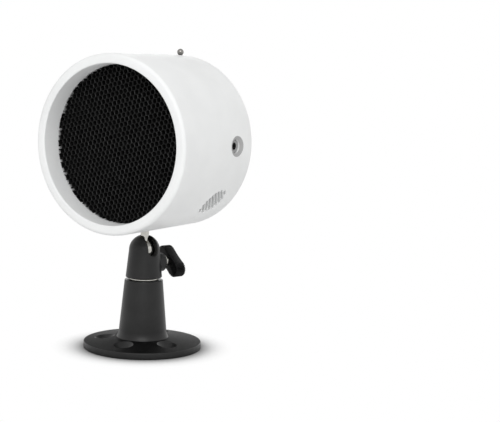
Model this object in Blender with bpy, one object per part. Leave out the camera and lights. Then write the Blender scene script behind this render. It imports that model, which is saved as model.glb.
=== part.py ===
"""White cylindrical reference head with a honeycomb face, on a black ball-and-post stand.

Metres, +Z up. The origin is the middle of the stand's underside. The head's open face looks
along -Y, its connector panel along +Y, and its power inlet along +X.
"""
import math

import bmesh
import bpy
from mathutils import Matrix, Vector

# ---------------------------------------------------------------- fits
GAP = 0.0003                      # clearance between pieces that seat on each other
THREAD_GAP = 0.0003               # clearance round a screw in its hole

# ---------------------------------------------------------------- stand
BASE_RADIUS = 0.0395
BASE_RIM = 0.0045                 # height of the flange at its edge
BASE_EDGE = 0.0006                # chamfer on the flange's edges
BASE_CROWN = 0.0074               # height of the flange where it meets the post
FOOT_RADIUS = 0.0172              # flared foot of the post
FOOT_FLARE = 0.0010               # round between the foot and the flange
FOOT_RISE = 0.0022                # height of the flared foot above the flange
FOOT_NECK_RISE = 0.0056           # height above the flange where the flare has run out
POST_FOOT_RADIUS = 0.0159
POST_TOP_RADIUS = 0.01285
POST_TOP = 0.0464
POST_EDGE = 0.0006
HOLE_CIRCLE_RADIUS = 0.0265
HOLE_RADIUS = 0.0026
COUNTERSINK_RADIUS = 0.0060
HOLE_ANGLES = (208.0, 276.0, 344.0, 96.0)
NUT_POCKET_RADIUS = 0.0075        # pocket for the swivel nut, open below
NUT_SEAT = 0.036
NUT_FLATS = 0.010
NUT_HEIGHT = 0.0047
SWIVEL_SCREW_RADIUS = 0.0029
SWIVEL_HEAD_RADIUS = 0.0053
SWIVEL_HEAD_HEIGHT = 0.0021
SWIVEL_SOCKET_FLATS = 0.0040
SWIVEL_SOCKET_DEPTH = 0.0013
SWIVEL_SCREW_END = 0.030
RING_RADIUS = 0.010
RING_HEIGHT = 0.0009

# ---------------------------------------------------------------- clamp
CLAMP_TURN = math.radians(-18.6)  # direction of the clamp's slot, from +X
CLAMP_FOOT_RADIUS = 0.0122
CLAMP_EDGE = 0.0004
CLAMP_FLOOR = 0.0018
DOME_RADIUS = 0.01035
BALL_CENTRE = 0.0663
BALL_RADIUS = 0.0070
SLOT_WIDTH = 0.0074
SLOT_LIFT = 0.0005                # the slot's round end lies this far above the ball's centre
SEAT_RADIUS = 0.0055
SEAT_BOTTOM = 0.0544
BOSS_RADIUS = 0.0063
BOSS_ROOT = 0.0068                # from the clamp's axis, inside the clamp's wall
BOSS_FACE = 0.0150                # from the clamp's axis
KNOB_AXIS = 0.0569
KNOB_SCREW_RADIUS = 0.0020
KNOB_SCREW_TIP = 0.0022
KNOB_SCREW_TIP_RADIUS = 0.0010
KNOB_SCREW_CONE = 0.0018
KNOB_SHANK_RADIUS = 0.0029
KNOB_WASHER_RADIUS = 0.0052
KNOB_WASHER_THICKNESS = 0.0008
KNOB_FACE = 0.0193
KNOB_THICKNESS = 0.0080
KNOB_LENGTH = 0.0240
KNOB_WIDTH = 0.0096
KNOB_RIB_DEPTH = 0.00045
KNOB_RIBS = 12
KNOB_EDGE = 0.0006
KNOB_GRIP = 0.0047                # depth of the screw in the knob
KNOB_TURN = math.radians(52.0)    # how far the knob's lower end is turned from straight down

# ---------------------------------------------------------------- stud
STUD_REACH = 0.01395              # from the ball's centre to the housing
STUD_RADIUS = 0.00285
STUD_THREAD_RADIUS = 0.0030
STUD_THREAD_LENGTH = 0.0079
INSERT_RADIUS = 0.0052
INSERT_FLANGE_RADIUS = 0.0090
INSERT_FLANGE_THICKNESS = 0.0042
INSERT_FLANGE_LIFT = 0.0012       # off the housing's wall, which is curved

# ---------------------------------------------------------------- housing
HOUSING_RADIUS = 0.0582
HOUSING_LENGTH = 0.0828
HOUSING_OFFSET = -0.0018          # the housing's middle along Y, from the stud
WALL = 0.0038
LIP_WIDTH = 0.0066
CORE_SINK = 0.0140                # the honeycomb's face behind the lip
LIP_EDGE = 0.0007
FRONT_FILLET = 0.0025
REAR_FILLET = 0.0020
RIM_EDGE = 0.0003

CELL_PITCH = 0.0096               # honeycomb cells, coarser than the real 3.2 mm ones
CELL_WALL = 0.0012
CORE_RIM = 0.0015
CORE_THICKNESS = 0.0070
PLATE_THICKNESS = 0.0030
HEATER_MARGIN = 0.0041            # from the heater's edge to the plate's
HEATER_THICKNESS = 0.0010
PROBE_RADIUS = 0.0020
PROBE_LENGTH = 0.0160
PROBE_POCKET = 0.0020
PROBE_X = 0.0180
CHASSIS_THICKNESS = 0.0022
CHASSIS_WIDTH = 0.0121
CHASSIS_CLEARANCE = 0.0005        # from the ring to the insert's flange
CHASSIS_POST_RADIUS = 0.0025

VENT_TURN = math.radians(-40.0)   # round the housing's axis, from +X towards +Z
VENT_SLANT = math.radians(45.0)   # of the slots, from the housing's round towards its front
VENT_REACH = 0.0116               # half the grille's size across the slots
VENT_HALF_LENGTH = 0.0092         # half the length of the longest slot
VENT_SLOTS = 9
VENT_PITCH = 0.0026
VENT_SLOT_WIDTH = 0.0014
FAN_SIZE = 0.0250
FAN_DEPTH = 0.0100
FAN_WALL = 0.0010                 # round the fan's bore, at the middle of a side
FAN_HOLE_EDGE = 0.0025            # from a screw's axis to the fan's sides
FAN_CORNER = 0.0015
FAN_SEAT_DEPTH = 0.0022           # the fan's flat front inside the housing's wall
FAN_CLEARANCE = 0.0023            # from the fan to the board
FAN_BACK = 0.0015
FAN_MOTOR_RADIUS = 0.0065
FAN_SPOKE_WIDTH = 0.0022
FAN_SPOKE_THICKNESS = 0.0012
FAN_SPOKES = 3
FAN_HUB_RADIUS = 0.0060
FAN_BLADES = 7
FAN_BLADE_GAP = 0.0006            # from the blades' tips to the fan's bore
FAN_BLADE_ROOT = 0.0050
FAN_BLADE_MARGIN = 0.0004         # from the blades to the rotor's ends
FAN_BLADE_PITCH = math.radians(38.0)
FAN_BLADE_THICKNESS = 0.0010
FAN_SCREW_RADIUS = 0.0011
FAN_SCREW_HEAD_RADIUS = 0.0020
FAN_SCREW_HEAD = 0.0014
FAN_SCREW_REACH = 0.0041          # past the fan's front into the housing

JACK_FROM_REAR = 0.0196           # from the housing's rear edge
JACK_DISH_RADIUS = 0.0076
JACK_DISH_DEPTH = 0.0021
JACK_RADIUS = 0.0043
JACK_BORE_RADIUS = 0.00285
JACK_LENGTH = 0.0100
JACK_BACK = 0.0015
JACK_PIN_RADIUS = 0.00105
JACK_NUT_RADIUS = 0.0066
JACK_NUT_THICKNESS = 0.0025

TOP_PIN_FROM_REAR = 0.0036
TOP_PIN_TURN = math.radians(89.0) # round the housing's axis, from +X towards +Z
TOP_PIN_BALL_RADIUS = 0.0023
TOP_PIN_RADIUS = 0.0012
TOP_PIN_RISE = 0.0020             # the ball's centre above the housing
TOP_PIN_DEPTH = 0.0030

PLUG_FROM_FRONT = 0.0102
PLUG_TURN = math.radians(166.0)
PLUG_RADIUS = 0.0015
PLUG_DEPTH = 0.0020
PLUG_SINK = 0.0004

# ---------------------------------------------------------------- rear panel
PANEL_SINK = 0.0003               # the panel's face behind the housing's rim
PANEL_THICKNESS = 0.0035
LAYOUT_RADIUS = 0.0541            # the panel radius at which the layout has the sizes below
PANEL_SCREWS = ((0.0389, 0.0234), (-0.0416, 0.0216), (-0.0207, -0.0417))
PANEL_SCREW_RADIUS = 0.0011
PANEL_SCREW_LENGTH = 0.0090
PANEL_SCREW_HEAD_RADIUS = 0.0017
PANEL_SCREW_HEAD = 0.0013
PANEL_SCREW_SOCKET = 0.0009
POCKET_DEPTH = 0.0013             # pockets of the label and the keypad
PLATE_CORNER = 0.0030
LABEL_CENTRE = (-0.0330, 0.0013)
LABEL_SIZE = (0.0276, 0.0354)
STICKER_CENTRE = (-0.0336, -0.0018)
STICKER_SIZE = (0.0270, 0.0112)
STICKER_THICKNESS = 0.0002
KEYPAD_CENTRE = (0.0332, 0.0019)
KEYPAD_SIZE = (0.0290, 0.0360)
BUTTON_SIZE = (0.0135, 0.0132)
BUTTON_X = 0.0278
BUTTON_HEIGHTS = {"plus": 0.0112, "minus": -0.0074}
BUTTON_CORNER = 0.0030
BUTTON_PROUD = 0.0007
BUTTON_FLANGE = 0.0012            # width of the flange that keeps a button in
BUTTON_TRAVEL = 0.0006
SWITCH_SIZE = 0.0060
SWITCH_STEM_RADIUS = 0.0017
SWITCH_STEM = 0.0005
WINDOW_CENTRE = (0.0, 0.0019)
WINDOW_SIZE = (0.0249, 0.0130)
WINDOW_CORNER = 0.0008
WINDOW_SINK = 0.0004
WINDOW_THICKNESS = 0.0027
DISPLAY_SIZE = 0.0270
DISPLAY_THICKNESS = 0.0025
DISPLAY_CORNER = 0.0010

SERIAL_CENTRE = (0.0, -0.0282)
SERIAL_RECESS = (0.0328, 0.0143)
SERIAL_RECESS_CORNER = 0.0020
SERIAL_FLOOR = 0.0010
SERIAL_SHELL = (0.0169, 0.0083)
SERIAL_SHELL_WALL = 0.0004
SERIAL_SHELL_PROUD = 0.0023
SERIAL_FLANGE = (0.0308, 0.0125)
SERIAL_FLANGE_THICKNESS = 0.0008
SERIAL_CORNER = 0.0018
SERIAL_SLANT = math.radians(10.0)
SERIAL_BLOCK = (0.0190, 0.0105)
SERIAL_BOSS = 0.0018
SERIAL_SCREW_SPACING = 0.02499
SERIAL_SCREW_FLATS = 0.0050
SERIAL_SCREW_PROUD = 0.0032
SERIAL_SCREW_RADIUS = 0.0014
SERIAL_SCREW_BORE = 0.0040
PIN_PITCH = 0.00276
PIN_ROW = 0.00284
PIN_RADIUS = 0.0005
PIN_RECESS = 0.0006               # the pins' tips behind the shell's front
PIN_ROWS = (5, 4)
PIN_STRIP = (0.0130, 0.0048)      # the strip that the pins stand on
PIN_STRIP_THICKNESS = 0.0005

USB_CENTRE = (0.0, -0.0420)
USB_SIZE = (0.0089, 0.0033)
USB_CORNER = 0.00162
USB_WALL = 0.0003
USB_PROUD = 0.0003
USB_TONGUE = (0.0067, 0.0007)
USB_BACK = 0.0018
USB_TONGUE_SINK = 0.0008

BOARD_GAP = 0.0062                # between the board and the panel
BOARD_THICKNESS = 0.0016
BOARD_HALF_WIDTH = 0.0320
BOARD_TOP = 0.0200
BOARD_BOTTOM = -0.0370
BOARD_TAB_HALF_WIDTH = 0.0090
BOARD_TAB_BOTTOM = -0.0465
STANDOFF_RADIUS = 0.0022
STANDOFFS = ((0.0170, 0.0172), (-0.0170, 0.0172), (0.0280, -0.0330), (-0.0280, -0.0330))

# ---------------------------------------------------------------- worked out from the above
HOUSING_FRONT = HOUSING_OFFSET - HOUSING_LENGTH / 2
HOUSING_REAR = HOUSING_OFFSET + HOUSING_LENGTH / 2
BORE_RADIUS = HOUSING_RADIUS - WALL
DISC_RADIUS = BORE_RADIUS - GAP
HOUSING_UNDERSIDE = BALL_CENTRE + STUD_REACH
HOUSING_AXIS = HOUSING_UNDERSIDE + HOUSING_RADIUS
LIP_RADIUS = HOUSING_RADIUS - LIP_WIDTH
LIP_DEPTH = CORE_SINK + CORE_THICKNESS
JACK_Y = HOUSING_REAR - JACK_FROM_REAR
TOP_PIN_Y = HOUSING_REAR - TOP_PIN_FROM_REAR
PLUG_Y = HOUSING_FRONT + PLUG_FROM_FRONT
CLAMP_BOTTOM = POST_TOP + RING_HEIGHT + 2 * GAP
CAVITY_RADIUS = BALL_RADIUS + GAP
SEAT_BORE_RADIUS = SEAT_RADIUS + GAP
PANEL_FACE = HOUSING_REAR - PANEL_SINK
PANEL_BACK = PANEL_FACE - PANEL_THICKNESS
BOARD_FACE = PANEL_BACK - BOARD_GAP
CORE_FRONT = HOUSING_FRONT + CORE_SINK
PLATE_FRONT = CORE_FRONT + CORE_THICKNESS + GAP
HEATER_FRONT = PLATE_FRONT + PLATE_THICKNESS + GAP
HEATER_RADIUS = DISC_RADIUS - HEATER_MARGIN
INSULATION_FRONT = HEATER_FRONT + HEATER_THICKNESS + GAP
CHASSIS_BORE_RADIUS = DISC_RADIUS - CHASSIS_WIDTH
CHASSIS_FRONT = -(INSERT_FLANGE_RADIUS + CHASSIS_CLEARANCE) - CHASSIS_THICKNESS
INSULATION_THICKNESS = CHASSIS_FRONT - GAP - INSULATION_FRONT
FAN_BORE_RADIUS = FAN_SIZE / 2 - FAN_WALL
FAN_HOLE_OFFSET = FAN_SIZE / 2 - FAN_HOLE_EDGE
FAN_BLADE_RADIUS = FAN_BORE_RADIUS - FAN_BLADE_GAP
FAN_SEAT = BORE_RADIUS - FAN_SEAT_DEPTH
FAN_CENTRE = FAN_SEAT - GAP - FAN_DEPTH / 2
VENT_Y = BOARD_FACE - BOARD_THICKNESS - FAN_CLEARANCE - FAN_SIZE / 2

# The panel's layout keeps its place in the panel when the housing's radius changes.
LAYOUT = DISC_RADIUS / LAYOUT_RADIUS


def fitted(*pairs):
    """Places or sizes on the panel, in step with its radius."""
    return [(x * LAYOUT, y * LAYOUT) for x, y in pairs]


PANEL_SCREWS = fitted(*PANEL_SCREWS)
STANDOFFS = fitted(*STANDOFFS)
LABEL_CENTRE, LABEL_SIZE, STICKER_CENTRE, STICKER_SIZE = fitted(
    LABEL_CENTRE, LABEL_SIZE, STICKER_CENTRE, STICKER_SIZE)
KEYPAD_CENTRE, KEYPAD_SIZE, BUTTON_SIZE = fitted(KEYPAD_CENTRE, KEYPAD_SIZE, BUTTON_SIZE)
WINDOW_CENTRE, WINDOW_SIZE = fitted(WINDOW_CENTRE, WINDOW_SIZE)
SERIAL_CENTRE, USB_CENTRE = fitted(SERIAL_CENTRE, USB_CENTRE)
BUTTON_X *= LAYOUT
BUTTON_HEIGHTS = {key: height * LAYOUT for key, height in BUTTON_HEIGHTS.items()}
DISPLAY_SIZE *= LAYOUT
BOARD_HALF_WIDTH *= LAYOUT
BOARD_TOP *= LAYOUT
BOARD_BOTTOM *= LAYOUT
BOARD_TAB_HALF_WIDTH *= LAYOUT
BOARD_TAB_BOTTOM *= LAYOUT

FINE = 60                         # sides of the housing's round pieces
MEDIUM = 36
COARSE = 20
SMALL = 10


# ---------------------------------------------------------------- frames
def frame(origin, x_axis, z_axis):
    """A placement whose local X and Z run along the given directions."""
    z_axis = Vector(z_axis).normalized()
    x_axis = Vector(x_axis).normalized()
    y_axis = z_axis.cross(x_axis)
    turn = Matrix((x_axis, y_axis, z_axis)).transposed().to_4x4()
    return Matrix.Translation(Vector(origin)) @ turn


UPRIGHT = Matrix()
AXIAL = frame((0, 0, HOUSING_AXIS), (-1, 0, 0), (0, 1, 0))


def behind(offset_y):
    """Seen from behind: local X to the right, local Y up, local Z out of the panel."""
    return Matrix.Translation((0, offset_y, 0)) @ AXIAL


def outward(turn, offset_y, radius=0.0):
    """Local Z points out of the housing's side at an angle, local X along the housing."""
    direction = Vector((math.cos(turn), 0, math.sin(turn)))
    origin = Vector((0, offset_y, HOUSING_AXIS)) + direction * radius
    return frame(origin, (0, 1, 0), direction)


CLAMP_SLOT = Vector((math.cos(CLAMP_TURN), math.sin(CLAMP_TURN), 0))
CLAMP_SIDE = Vector((-math.sin(CLAMP_TURN), math.cos(CLAMP_TURN), 0))
KNOB_FRAME = frame((0, 0, KNOB_AXIS), -CLAMP_SLOT, CLAMP_SIDE)


# ---------------------------------------------------------------- outlines
def circle(radius, sides, centre=(0.0, 0.0)):
    """A ring of points, anticlockwise."""
    return [(centre[0] + radius * math.cos(2 * math.pi * i / sides),
             centre[1] + radius * math.sin(2 * math.pi * i / sides)) for i in range(sides)]


def hexagon(flats, centre=(0.0, 0.0), start=0.0):
    """A hexagon by its width across flats."""
    radius = flats / math.sqrt(3)
    return [(centre[0] + radius * math.cos(start + math.pi * i / 3),
             centre[1] + radius * math.sin(start + math.pi * i / 3)) for i in range(6)]


def rounded_box(size, corner, centre=(0.0, 0.0), steps=3):
    """A rectangle with round corners."""
    points = []
    for number, (sx, sy) in enumerate(((1, 1), (-1, 1), (-1, -1), (1, -1))):
        cx = centre[0] + sx * (size[0] / 2 - corner)
        cy = centre[1] + sy * (size[1] / 2 - corner)
        for step in range(steps + 1):
            angle = math.pi / 2 * (number + step / steps)
            points.append((cx + corner * math.cos(angle), cy + corner * math.sin(angle)))
    return points


def d_outline(size, corner, centre=(0.0, 0.0), steps=3):
    """The D shape of a serial connector, wider at the top."""
    half_width = size[0] / 2
    half_height = size[1] / 2
    lean = size[1] * math.tan(SERIAL_SLANT)
    corners = ((half_width, half_height), (-half_width, half_height),
               (-half_width + lean, -half_height), (half_width - lean, -half_height))
    points = []
    for number, (x, y) in enumerate(corners):
        before = Vector(corners[number - 1]) - Vector((x, y))
        after = Vector(corners[(number + 1) % 4]) - Vector((x, y))
        start = Vector((x, y)) + before.normalized() * corner
        end = Vector((x, y)) + after.normalized() * corner
        for step in range(steps + 1):
            share = step / steps
            bend = (1 - share) ** 2 * start + 2 * share * (1 - share) * Vector((x, y)) + share ** 2 * end
            points.append((centre[0] + bend.x, centre[1] + bend.y))
    return points


def arc(centre, radius, start, end, steps):
    """Points on a circle from one angle in degrees to another, both ends included."""
    points = []
    for step in range(steps + 1):
        angle = math.radians(start + (end - start) * step / steps)
        points.append((centre[0] + radius * math.cos(angle), centre[1] + radius * math.sin(angle)))
    return points


# ---------------------------------------------------------------- making objects
def clear_scene():
    """Removes every object of the scene."""
    for item in list(bpy.data.objects):
        bpy.data.objects.remove(item, do_unlink=True)


def finish(name, colour, roughness, metallic=0.0):
    """A Principled material."""
    material = bpy.data.materials.new(name)
    material.use_nodes = True
    shader = material.node_tree.nodes["Principled BSDF"]
    shader.inputs["Base Color"].default_value = (*colour, 1.0)
    shader.inputs["Roughness"].default_value = roughness
    shader.inputs["Metallic"].default_value = metallic
    material.diffuse_color = (*colour, 1.0)
    return material


def add_object(name, shape, material, placement):
    """Turns a bmesh into an object, its faces pointing out."""
    bmesh.ops.recalc_face_normals(shape, faces=shape.faces)
    mesh = bpy.data.meshes.new(name)
    shape.to_mesh(mesh)
    shape.free()
    mesh.shade_smooth()
    mesh.set_sharp_from_angle(angle=math.radians(30))
    mesh.materials.append(material)
    piece = bpy.data.objects.new(name, mesh)
    bpy.context.scene.collection.objects.link(piece)
    piece.matrix_world = placement
    return piece


def turned(name, profile, sides, material, placement=UPRIGHT):
    """Revolves (radius, height) points about local Z. Ends at radius 0 close the shape."""
    shape = bmesh.new()
    is_ring = profile[0][0] > 0
    points = list(profile)
    flat_start = not is_ring and points[0][1] == points[1][1]
    flat_end = not is_ring and points[-1][1] == points[-2][1]
    if flat_start:
        points.pop(0)
    if flat_end:
        points.pop()
    rings = []
    for radius, height in points:
        if radius == 0:
            rings.append([shape.verts.new((0, 0, height))] * sides)
        else:
            rings.append([shape.verts.new((x, y, height)) for x, y in circle(radius, sides)])
    if flat_start:
        shape.faces.new(rings[0])
    if flat_end:
        shape.faces.new(rings[-1])
    for index in range(len(rings) if is_ring else len(rings) - 1):
        lower = rings[index]
        upper = rings[(index + 1) % len(rings)]
        for side in range(sides):
            following = (side + 1) % sides
            corners = []
            for corner in (lower[side], lower[following], upper[following], upper[side]):
                if corner not in corners:
                    corners.append(corner)
            shape.faces.new(corners)
    return add_object(name, shape, material, placement)


def tube_profile(inner, outer, low, high):
    """The profile of a plain ring."""
    return [(inner, low), (outer, low), (outer, high), (inner, high)]


def rod_profile(radius, low, high):
    """The profile of a plain rod."""
    return [(0, low), (radius, low), (radius, high), (0, high)]


def prism(name, outline, low, high, material, placement=UPRIGHT, holes=()):
    """Extrudes an outline along local Z, with any holes going right through."""
    shape = bmesh.new()
    edges = []
    for loop in (outline, *holes):
        corners = [shape.verts.new((x, y, low)) for x, y in loop]
        for index, corner in enumerate(corners):
            edges.append(shape.edges.new((corner, corners[(index + 1) % len(corners)])))
    if holes:
        bmesh.ops.triangle_fill(shape, use_beauty=True, use_dissolve=False, edges=edges)
    else:
        shape.faces.new(list(shape.verts))
    grown = bmesh.ops.extrude_face_region(shape, geom=list(shape.faces))
    moved = [item for item in grown["geom"] if isinstance(item, bmesh.types.BMVert)]
    bmesh.ops.translate(shape, verts=moved, vec=(0, 0, high - low))
    return add_object(name, shape, material, placement)


def lofted(name, levels, material, placement=UPRIGHT):
    """Joins outlines of equal length, each with its height, into one solid."""
    shape = bmesh.new()
    rings = [[shape.verts.new((x, y, height)) for x, y in outline] for outline, height in levels]
    count = len(rings[0])
    for lower, upper in zip(rings, rings[1:]):
        for side in range(count):
            following = (side + 1) % count
            shape.faces.new((lower[side], lower[following], upper[following], upper[side]))
    shape.faces.new(rings[0])
    shape.faces.new(rings[-1])
    return add_object(name, shape, material, placement)


def box(name, size, centre, material, placement=UPRIGHT):
    """A plain block."""
    outline = [(centre[0] + sx * size[0] / 2, centre[1] + sy * size[1] / 2)
               for sx, sy in ((-1, -1), (1, -1), (1, 1), (-1, 1))]
    return prism(name, outline, centre[2] - size[2] / 2, centre[2] + size[2] / 2, material, placement)


def combine(target, other, operation):
    """Adds a Boolean, and hides the shape that it uses up."""
    other.hide_render = True
    other.display_type = "WIRE"
    step = target.modifiers.new(operation.title(), "BOOLEAN")
    step.operation = operation
    step.solver = "EXACT"
    step.object = other


def carve(target, cutter):
    """Cuts one shape out of another."""
    combine(target, cutter, "DIFFERENCE")


def fuse(target, extra):
    """Makes one body of two shapes."""
    combine(target, extra, "UNION")


def ride(pieces, pivot):
    """Hangs pieces on an empty without moving them."""
    for piece in pieces:
        piece.parent = pivot
        piece.matrix_parent_inverse = Matrix.Translation(-pivot.location)


def pivot_at(name, location):
    """An empty on a joint's axis."""
    pivot = bpy.data.objects.new(name, None)
    pivot.location = location
    bpy.context.scene.collection.objects.link(pivot)
    return pivot


# ---------------------------------------------------------------- stand
def make_base_post(black, guide):
    """Round flange and tapered post, cast in one, with a nut pocket open below."""
    foot_curve = []
    for share in (1 / 3, 2 / 3, 1):
        height = FOOT_RISE + (FOOT_NECK_RISE - FOOT_RISE) * share
        radius = POST_FOOT_RADIUS + (FOOT_RADIUS - POST_FOOT_RADIUS) * (1 - share) ** 2
        foot_curve.append((radius, BASE_CROWN + height))
    profile = [
        (NUT_POCKET_RADIUS, 0),
        (BASE_RADIUS - BASE_EDGE, 0),
        (BASE_RADIUS, BASE_EDGE),
        (BASE_RADIUS, BASE_RIM - BASE_EDGE),
        (BASE_RADIUS - BASE_EDGE, BASE_RIM),
        (FOOT_RADIUS + FOOT_FLARE, BASE_CROWN),
        (FOOT_RADIUS, BASE_CROWN + FOOT_FLARE),
        (FOOT_RADIUS, BASE_CROWN + FOOT_RISE),
        *foot_curve,
        (POST_TOP_RADIUS, POST_TOP - POST_EDGE),
        (POST_TOP_RADIUS - POST_EDGE, POST_TOP),
        (SWIVEL_SCREW_RADIUS + THREAD_GAP, POST_TOP),
        (SWIVEL_SCREW_RADIUS + THREAD_GAP, NUT_SEAT),
        (NUT_POCKET_RADIUS, NUT_SEAT),
    ]
    post = turned("base_post", profile, MEDIUM, black)
    slope = (BASE_CROWN - BASE_RIM) / (BASE_RADIUS - BASE_EDGE - FOOT_RADIUS - FOOT_FLARE)
    surface = BASE_RIM + (BASE_RADIUS - BASE_EDGE - HOLE_CIRCLE_RADIUS) * slope
    sink = COUNTERSINK_RADIUS - HOLE_RADIUS
    above = BASE_CROWN - BASE_RIM
    hole = [(0, -BASE_RIM), (HOLE_RADIUS, -BASE_RIM), (HOLE_RADIUS, surface - sink),
            (COUNTERSINK_RADIUS + above, surface + above), (0, surface + above)]
    for number, angle in enumerate(HOLE_ANGLES, start=1):
        turn = Matrix.Rotation(math.radians(angle), 4, "Z")
        place = turn @ Matrix.Translation((HOLE_CIRCLE_RADIUS, 0, 0))
        carve(post, turned(f"cut_base_hole_{number}", hole, COARSE, guide, place))
    return post


def make_swivel(steel, guide):
    """The screw, nut and bright ring that the clamp turns on."""
    ring_low = POST_TOP + GAP
    bore = SWIVEL_SCREW_RADIUS + THREAD_GAP
    turned("swivel_ring", tube_profile(bore, RING_RADIUS, ring_low, ring_low + RING_HEIGHT),
           MEDIUM, steel)
    head_low = CLAMP_BOTTOM + CLAMP_FLOOR + GAP
    head_high = head_low + SWIVEL_HEAD_HEIGHT
    screw = turned("swivel_screw", [
        (0, SWIVEL_SCREW_END),
        (SWIVEL_SCREW_RADIUS, SWIVEL_SCREW_END),
        (SWIVEL_SCREW_RADIUS, head_low),
        (SWIVEL_HEAD_RADIUS, head_low),
        (SWIVEL_HEAD_RADIUS, head_high),
        (0, head_high),
    ], COARSE, steel)
    carve(screw, prism("cut_swivel_socket", hexagon(SWIVEL_SOCKET_FLATS), head_high - SWIVEL_SOCKET_DEPTH,
                       head_high + SWIVEL_SOCKET_DEPTH, guide))
    nut_high = NUT_SEAT - GAP
    prism("swivel_nut", hexagon(NUT_FLATS), nut_high - NUT_HEIGHT, nut_high, steel,
          holes=[circle(bore, COARSE)])


# ---------------------------------------------------------------- clamp
def make_clamp_head(black, guide):
    """Domed cup round the ball, with a slot for the stud and a boss for the knob's screw."""
    opening = SLOT_WIDTH / 2
    dome_end = math.degrees(math.acos(opening / DOME_RADIUS))
    cavity_start = math.degrees(math.acos(opening / CAVITY_RADIUS))
    cavity_end = -math.degrees(math.acos(SEAT_BORE_RADIUS / CAVITY_RADIUS))
    floor = CLAMP_BOTTOM + CLAMP_FLOOR
    bore = SWIVEL_SCREW_RADIUS + THREAD_GAP
    profile = [
        (bore, CLAMP_BOTTOM),
        (CLAMP_FOOT_RADIUS - CLAMP_EDGE, CLAMP_BOTTOM),
        (CLAMP_FOOT_RADIUS, CLAMP_BOTTOM + CLAMP_EDGE),
        *arc((0, BALL_CENTRE), DOME_RADIUS, 0, dome_end, 6),
        *arc((0, BALL_CENTRE), CAVITY_RADIUS, cavity_start, cavity_end, 5),
        (SEAT_BORE_RADIUS, floor),
        (bore, floor),
    ]
    clamp = turned("clamp_head", profile, MEDIUM, black)
    boss = turned("part_of_clamp_boss", rod_profile(BOSS_RADIUS, BOSS_ROOT, BOSS_FACE),
                  COARSE, black, KNOB_FRAME)
    fuse(clamp, boss)
    screw_hole = rod_profile(KNOB_SCREW_RADIUS + THREAD_GAP, KNOB_SCREW_TIP, BOSS_FACE + BOSS_RADIUS)
    carve(clamp, turned("cut_clamp_screw", screw_hole, COARSE, guide, KNOB_FRAME))
    round_end = arc((0, SLOT_LIFT), SLOT_WIDTH / 2, -180, 0, 12)
    above = DOME_RADIUS + SLOT_WIDTH
    slot = [(-SLOT_WIDTH / 2, above), *round_end, (SLOT_WIDTH / 2, above)]
    along_slot = frame((0, 0, BALL_CENTRE), CLAMP_SIDE, CLAMP_SLOT)
    carve(clamp, prism("cut_clamp_slot", slot, 0, CLAMP_FOOT_RADIUS + SLOT_WIDTH, guide, along_slot))
    return clamp


def make_ball_seat(nylon, guide):
    """Cup under the ball, with a notch for the screw's cone."""
    rim = -math.degrees(math.acos(SEAT_RADIUS / CAVITY_RADIUS))
    cup = arc((0, BALL_CENTRE), CAVITY_RADIUS, rim, -90, 6)
    cup[-1] = (0, BALL_CENTRE - CAVITY_RADIUS)
    seat = turned("ball_seat", [(0, SEAT_BOTTOM), (SEAT_RADIUS, SEAT_BOTTOM), *cup], COARSE, nylon)
    carve(seat, turned("cut_seat_notch", [
        (0, KNOB_SCREW_TIP - GAP),
        (KNOB_SCREW_TIP_RADIUS + GAP, KNOB_SCREW_TIP - GAP),
        (KNOB_SCREW_RADIUS + GAP, KNOB_SCREW_TIP + KNOB_SCREW_CONE),
        (KNOB_SCREW_RADIUS + GAP, 2 * SEAT_RADIUS),
        (0, 2 * SEAT_RADIUS),
    ], SMALL, guide, KNOB_FRAME))
    return seat


def knob_outline(inset):
    """A bar with round, ribbed ends."""
    radius = KNOB_WIDTH / 2 - inset
    reach = KNOB_LENGTH / 2 - KNOB_WIDTH / 2
    points = []
    for side in (1, -1):
        for step in range(2 * KNOB_RIBS + 1):
            angle = math.pi * (step / (2 * KNOB_RIBS) - 0.5)
            depth = KNOB_RIB_DEPTH if step % 2 else 0.0
            points.append((side * (reach + (radius - depth) * math.cos(angle)),
                           side * (radius - depth) * math.sin(angle)))
    return points


def make_knob(black, steel, guide):
    """Wing knob on its screw, and the washer between knob and clamp."""
    low = BOSS_FACE + GAP
    washer = tube_profile(KNOB_SCREW_RADIUS + THREAD_GAP, KNOB_WASHER_RADIUS,
                          low, low + KNOB_WASHER_THICKNESS)
    turned("knob_washer", washer, COARSE, steel, KNOB_FRAME)
    shank_low = low + KNOB_WASHER_THICKNESS + GAP
    shank_high = KNOB_FACE - GAP
    end = KNOB_FACE + KNOB_GRIP
    turned("clamp_screw", [
        (0, KNOB_SCREW_TIP),
        (KNOB_SCREW_TIP_RADIUS, KNOB_SCREW_TIP),
        (KNOB_SCREW_RADIUS, KNOB_SCREW_TIP + KNOB_SCREW_CONE),
        (KNOB_SCREW_RADIUS, shank_low),
        (KNOB_SHANK_RADIUS, shank_low),
        (KNOB_SHANK_RADIUS, shank_high),
        (KNOB_SCREW_RADIUS, shank_high),
        (KNOB_SCREW_RADIUS, end),
        (0, end),
    ], COARSE, steel, KNOB_FRAME)
    tip_down = math.radians(-90) - KNOB_TURN
    place = KNOB_FRAME @ Matrix.Rotation(tip_down, 4, "Z")
    outer = KNOB_FACE + KNOB_THICKNESS
    knob = lofted("clamp_knob", [
        (knob_outline(KNOB_EDGE), KNOB_FACE),
        (knob_outline(0), KNOB_FACE + KNOB_EDGE),
        (knob_outline(0), outer - KNOB_EDGE),
        (knob_outline(KNOB_EDGE), outer),
    ], black, place)
    hole = rod_profile(KNOB_SCREW_RADIUS + THREAD_GAP, KNOB_FACE - KNOB_EDGE, end + GAP)
    carve(knob, turned("cut_knob_hole", hole, COARSE, guide, KNOB_FRAME))
    return knob


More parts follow.
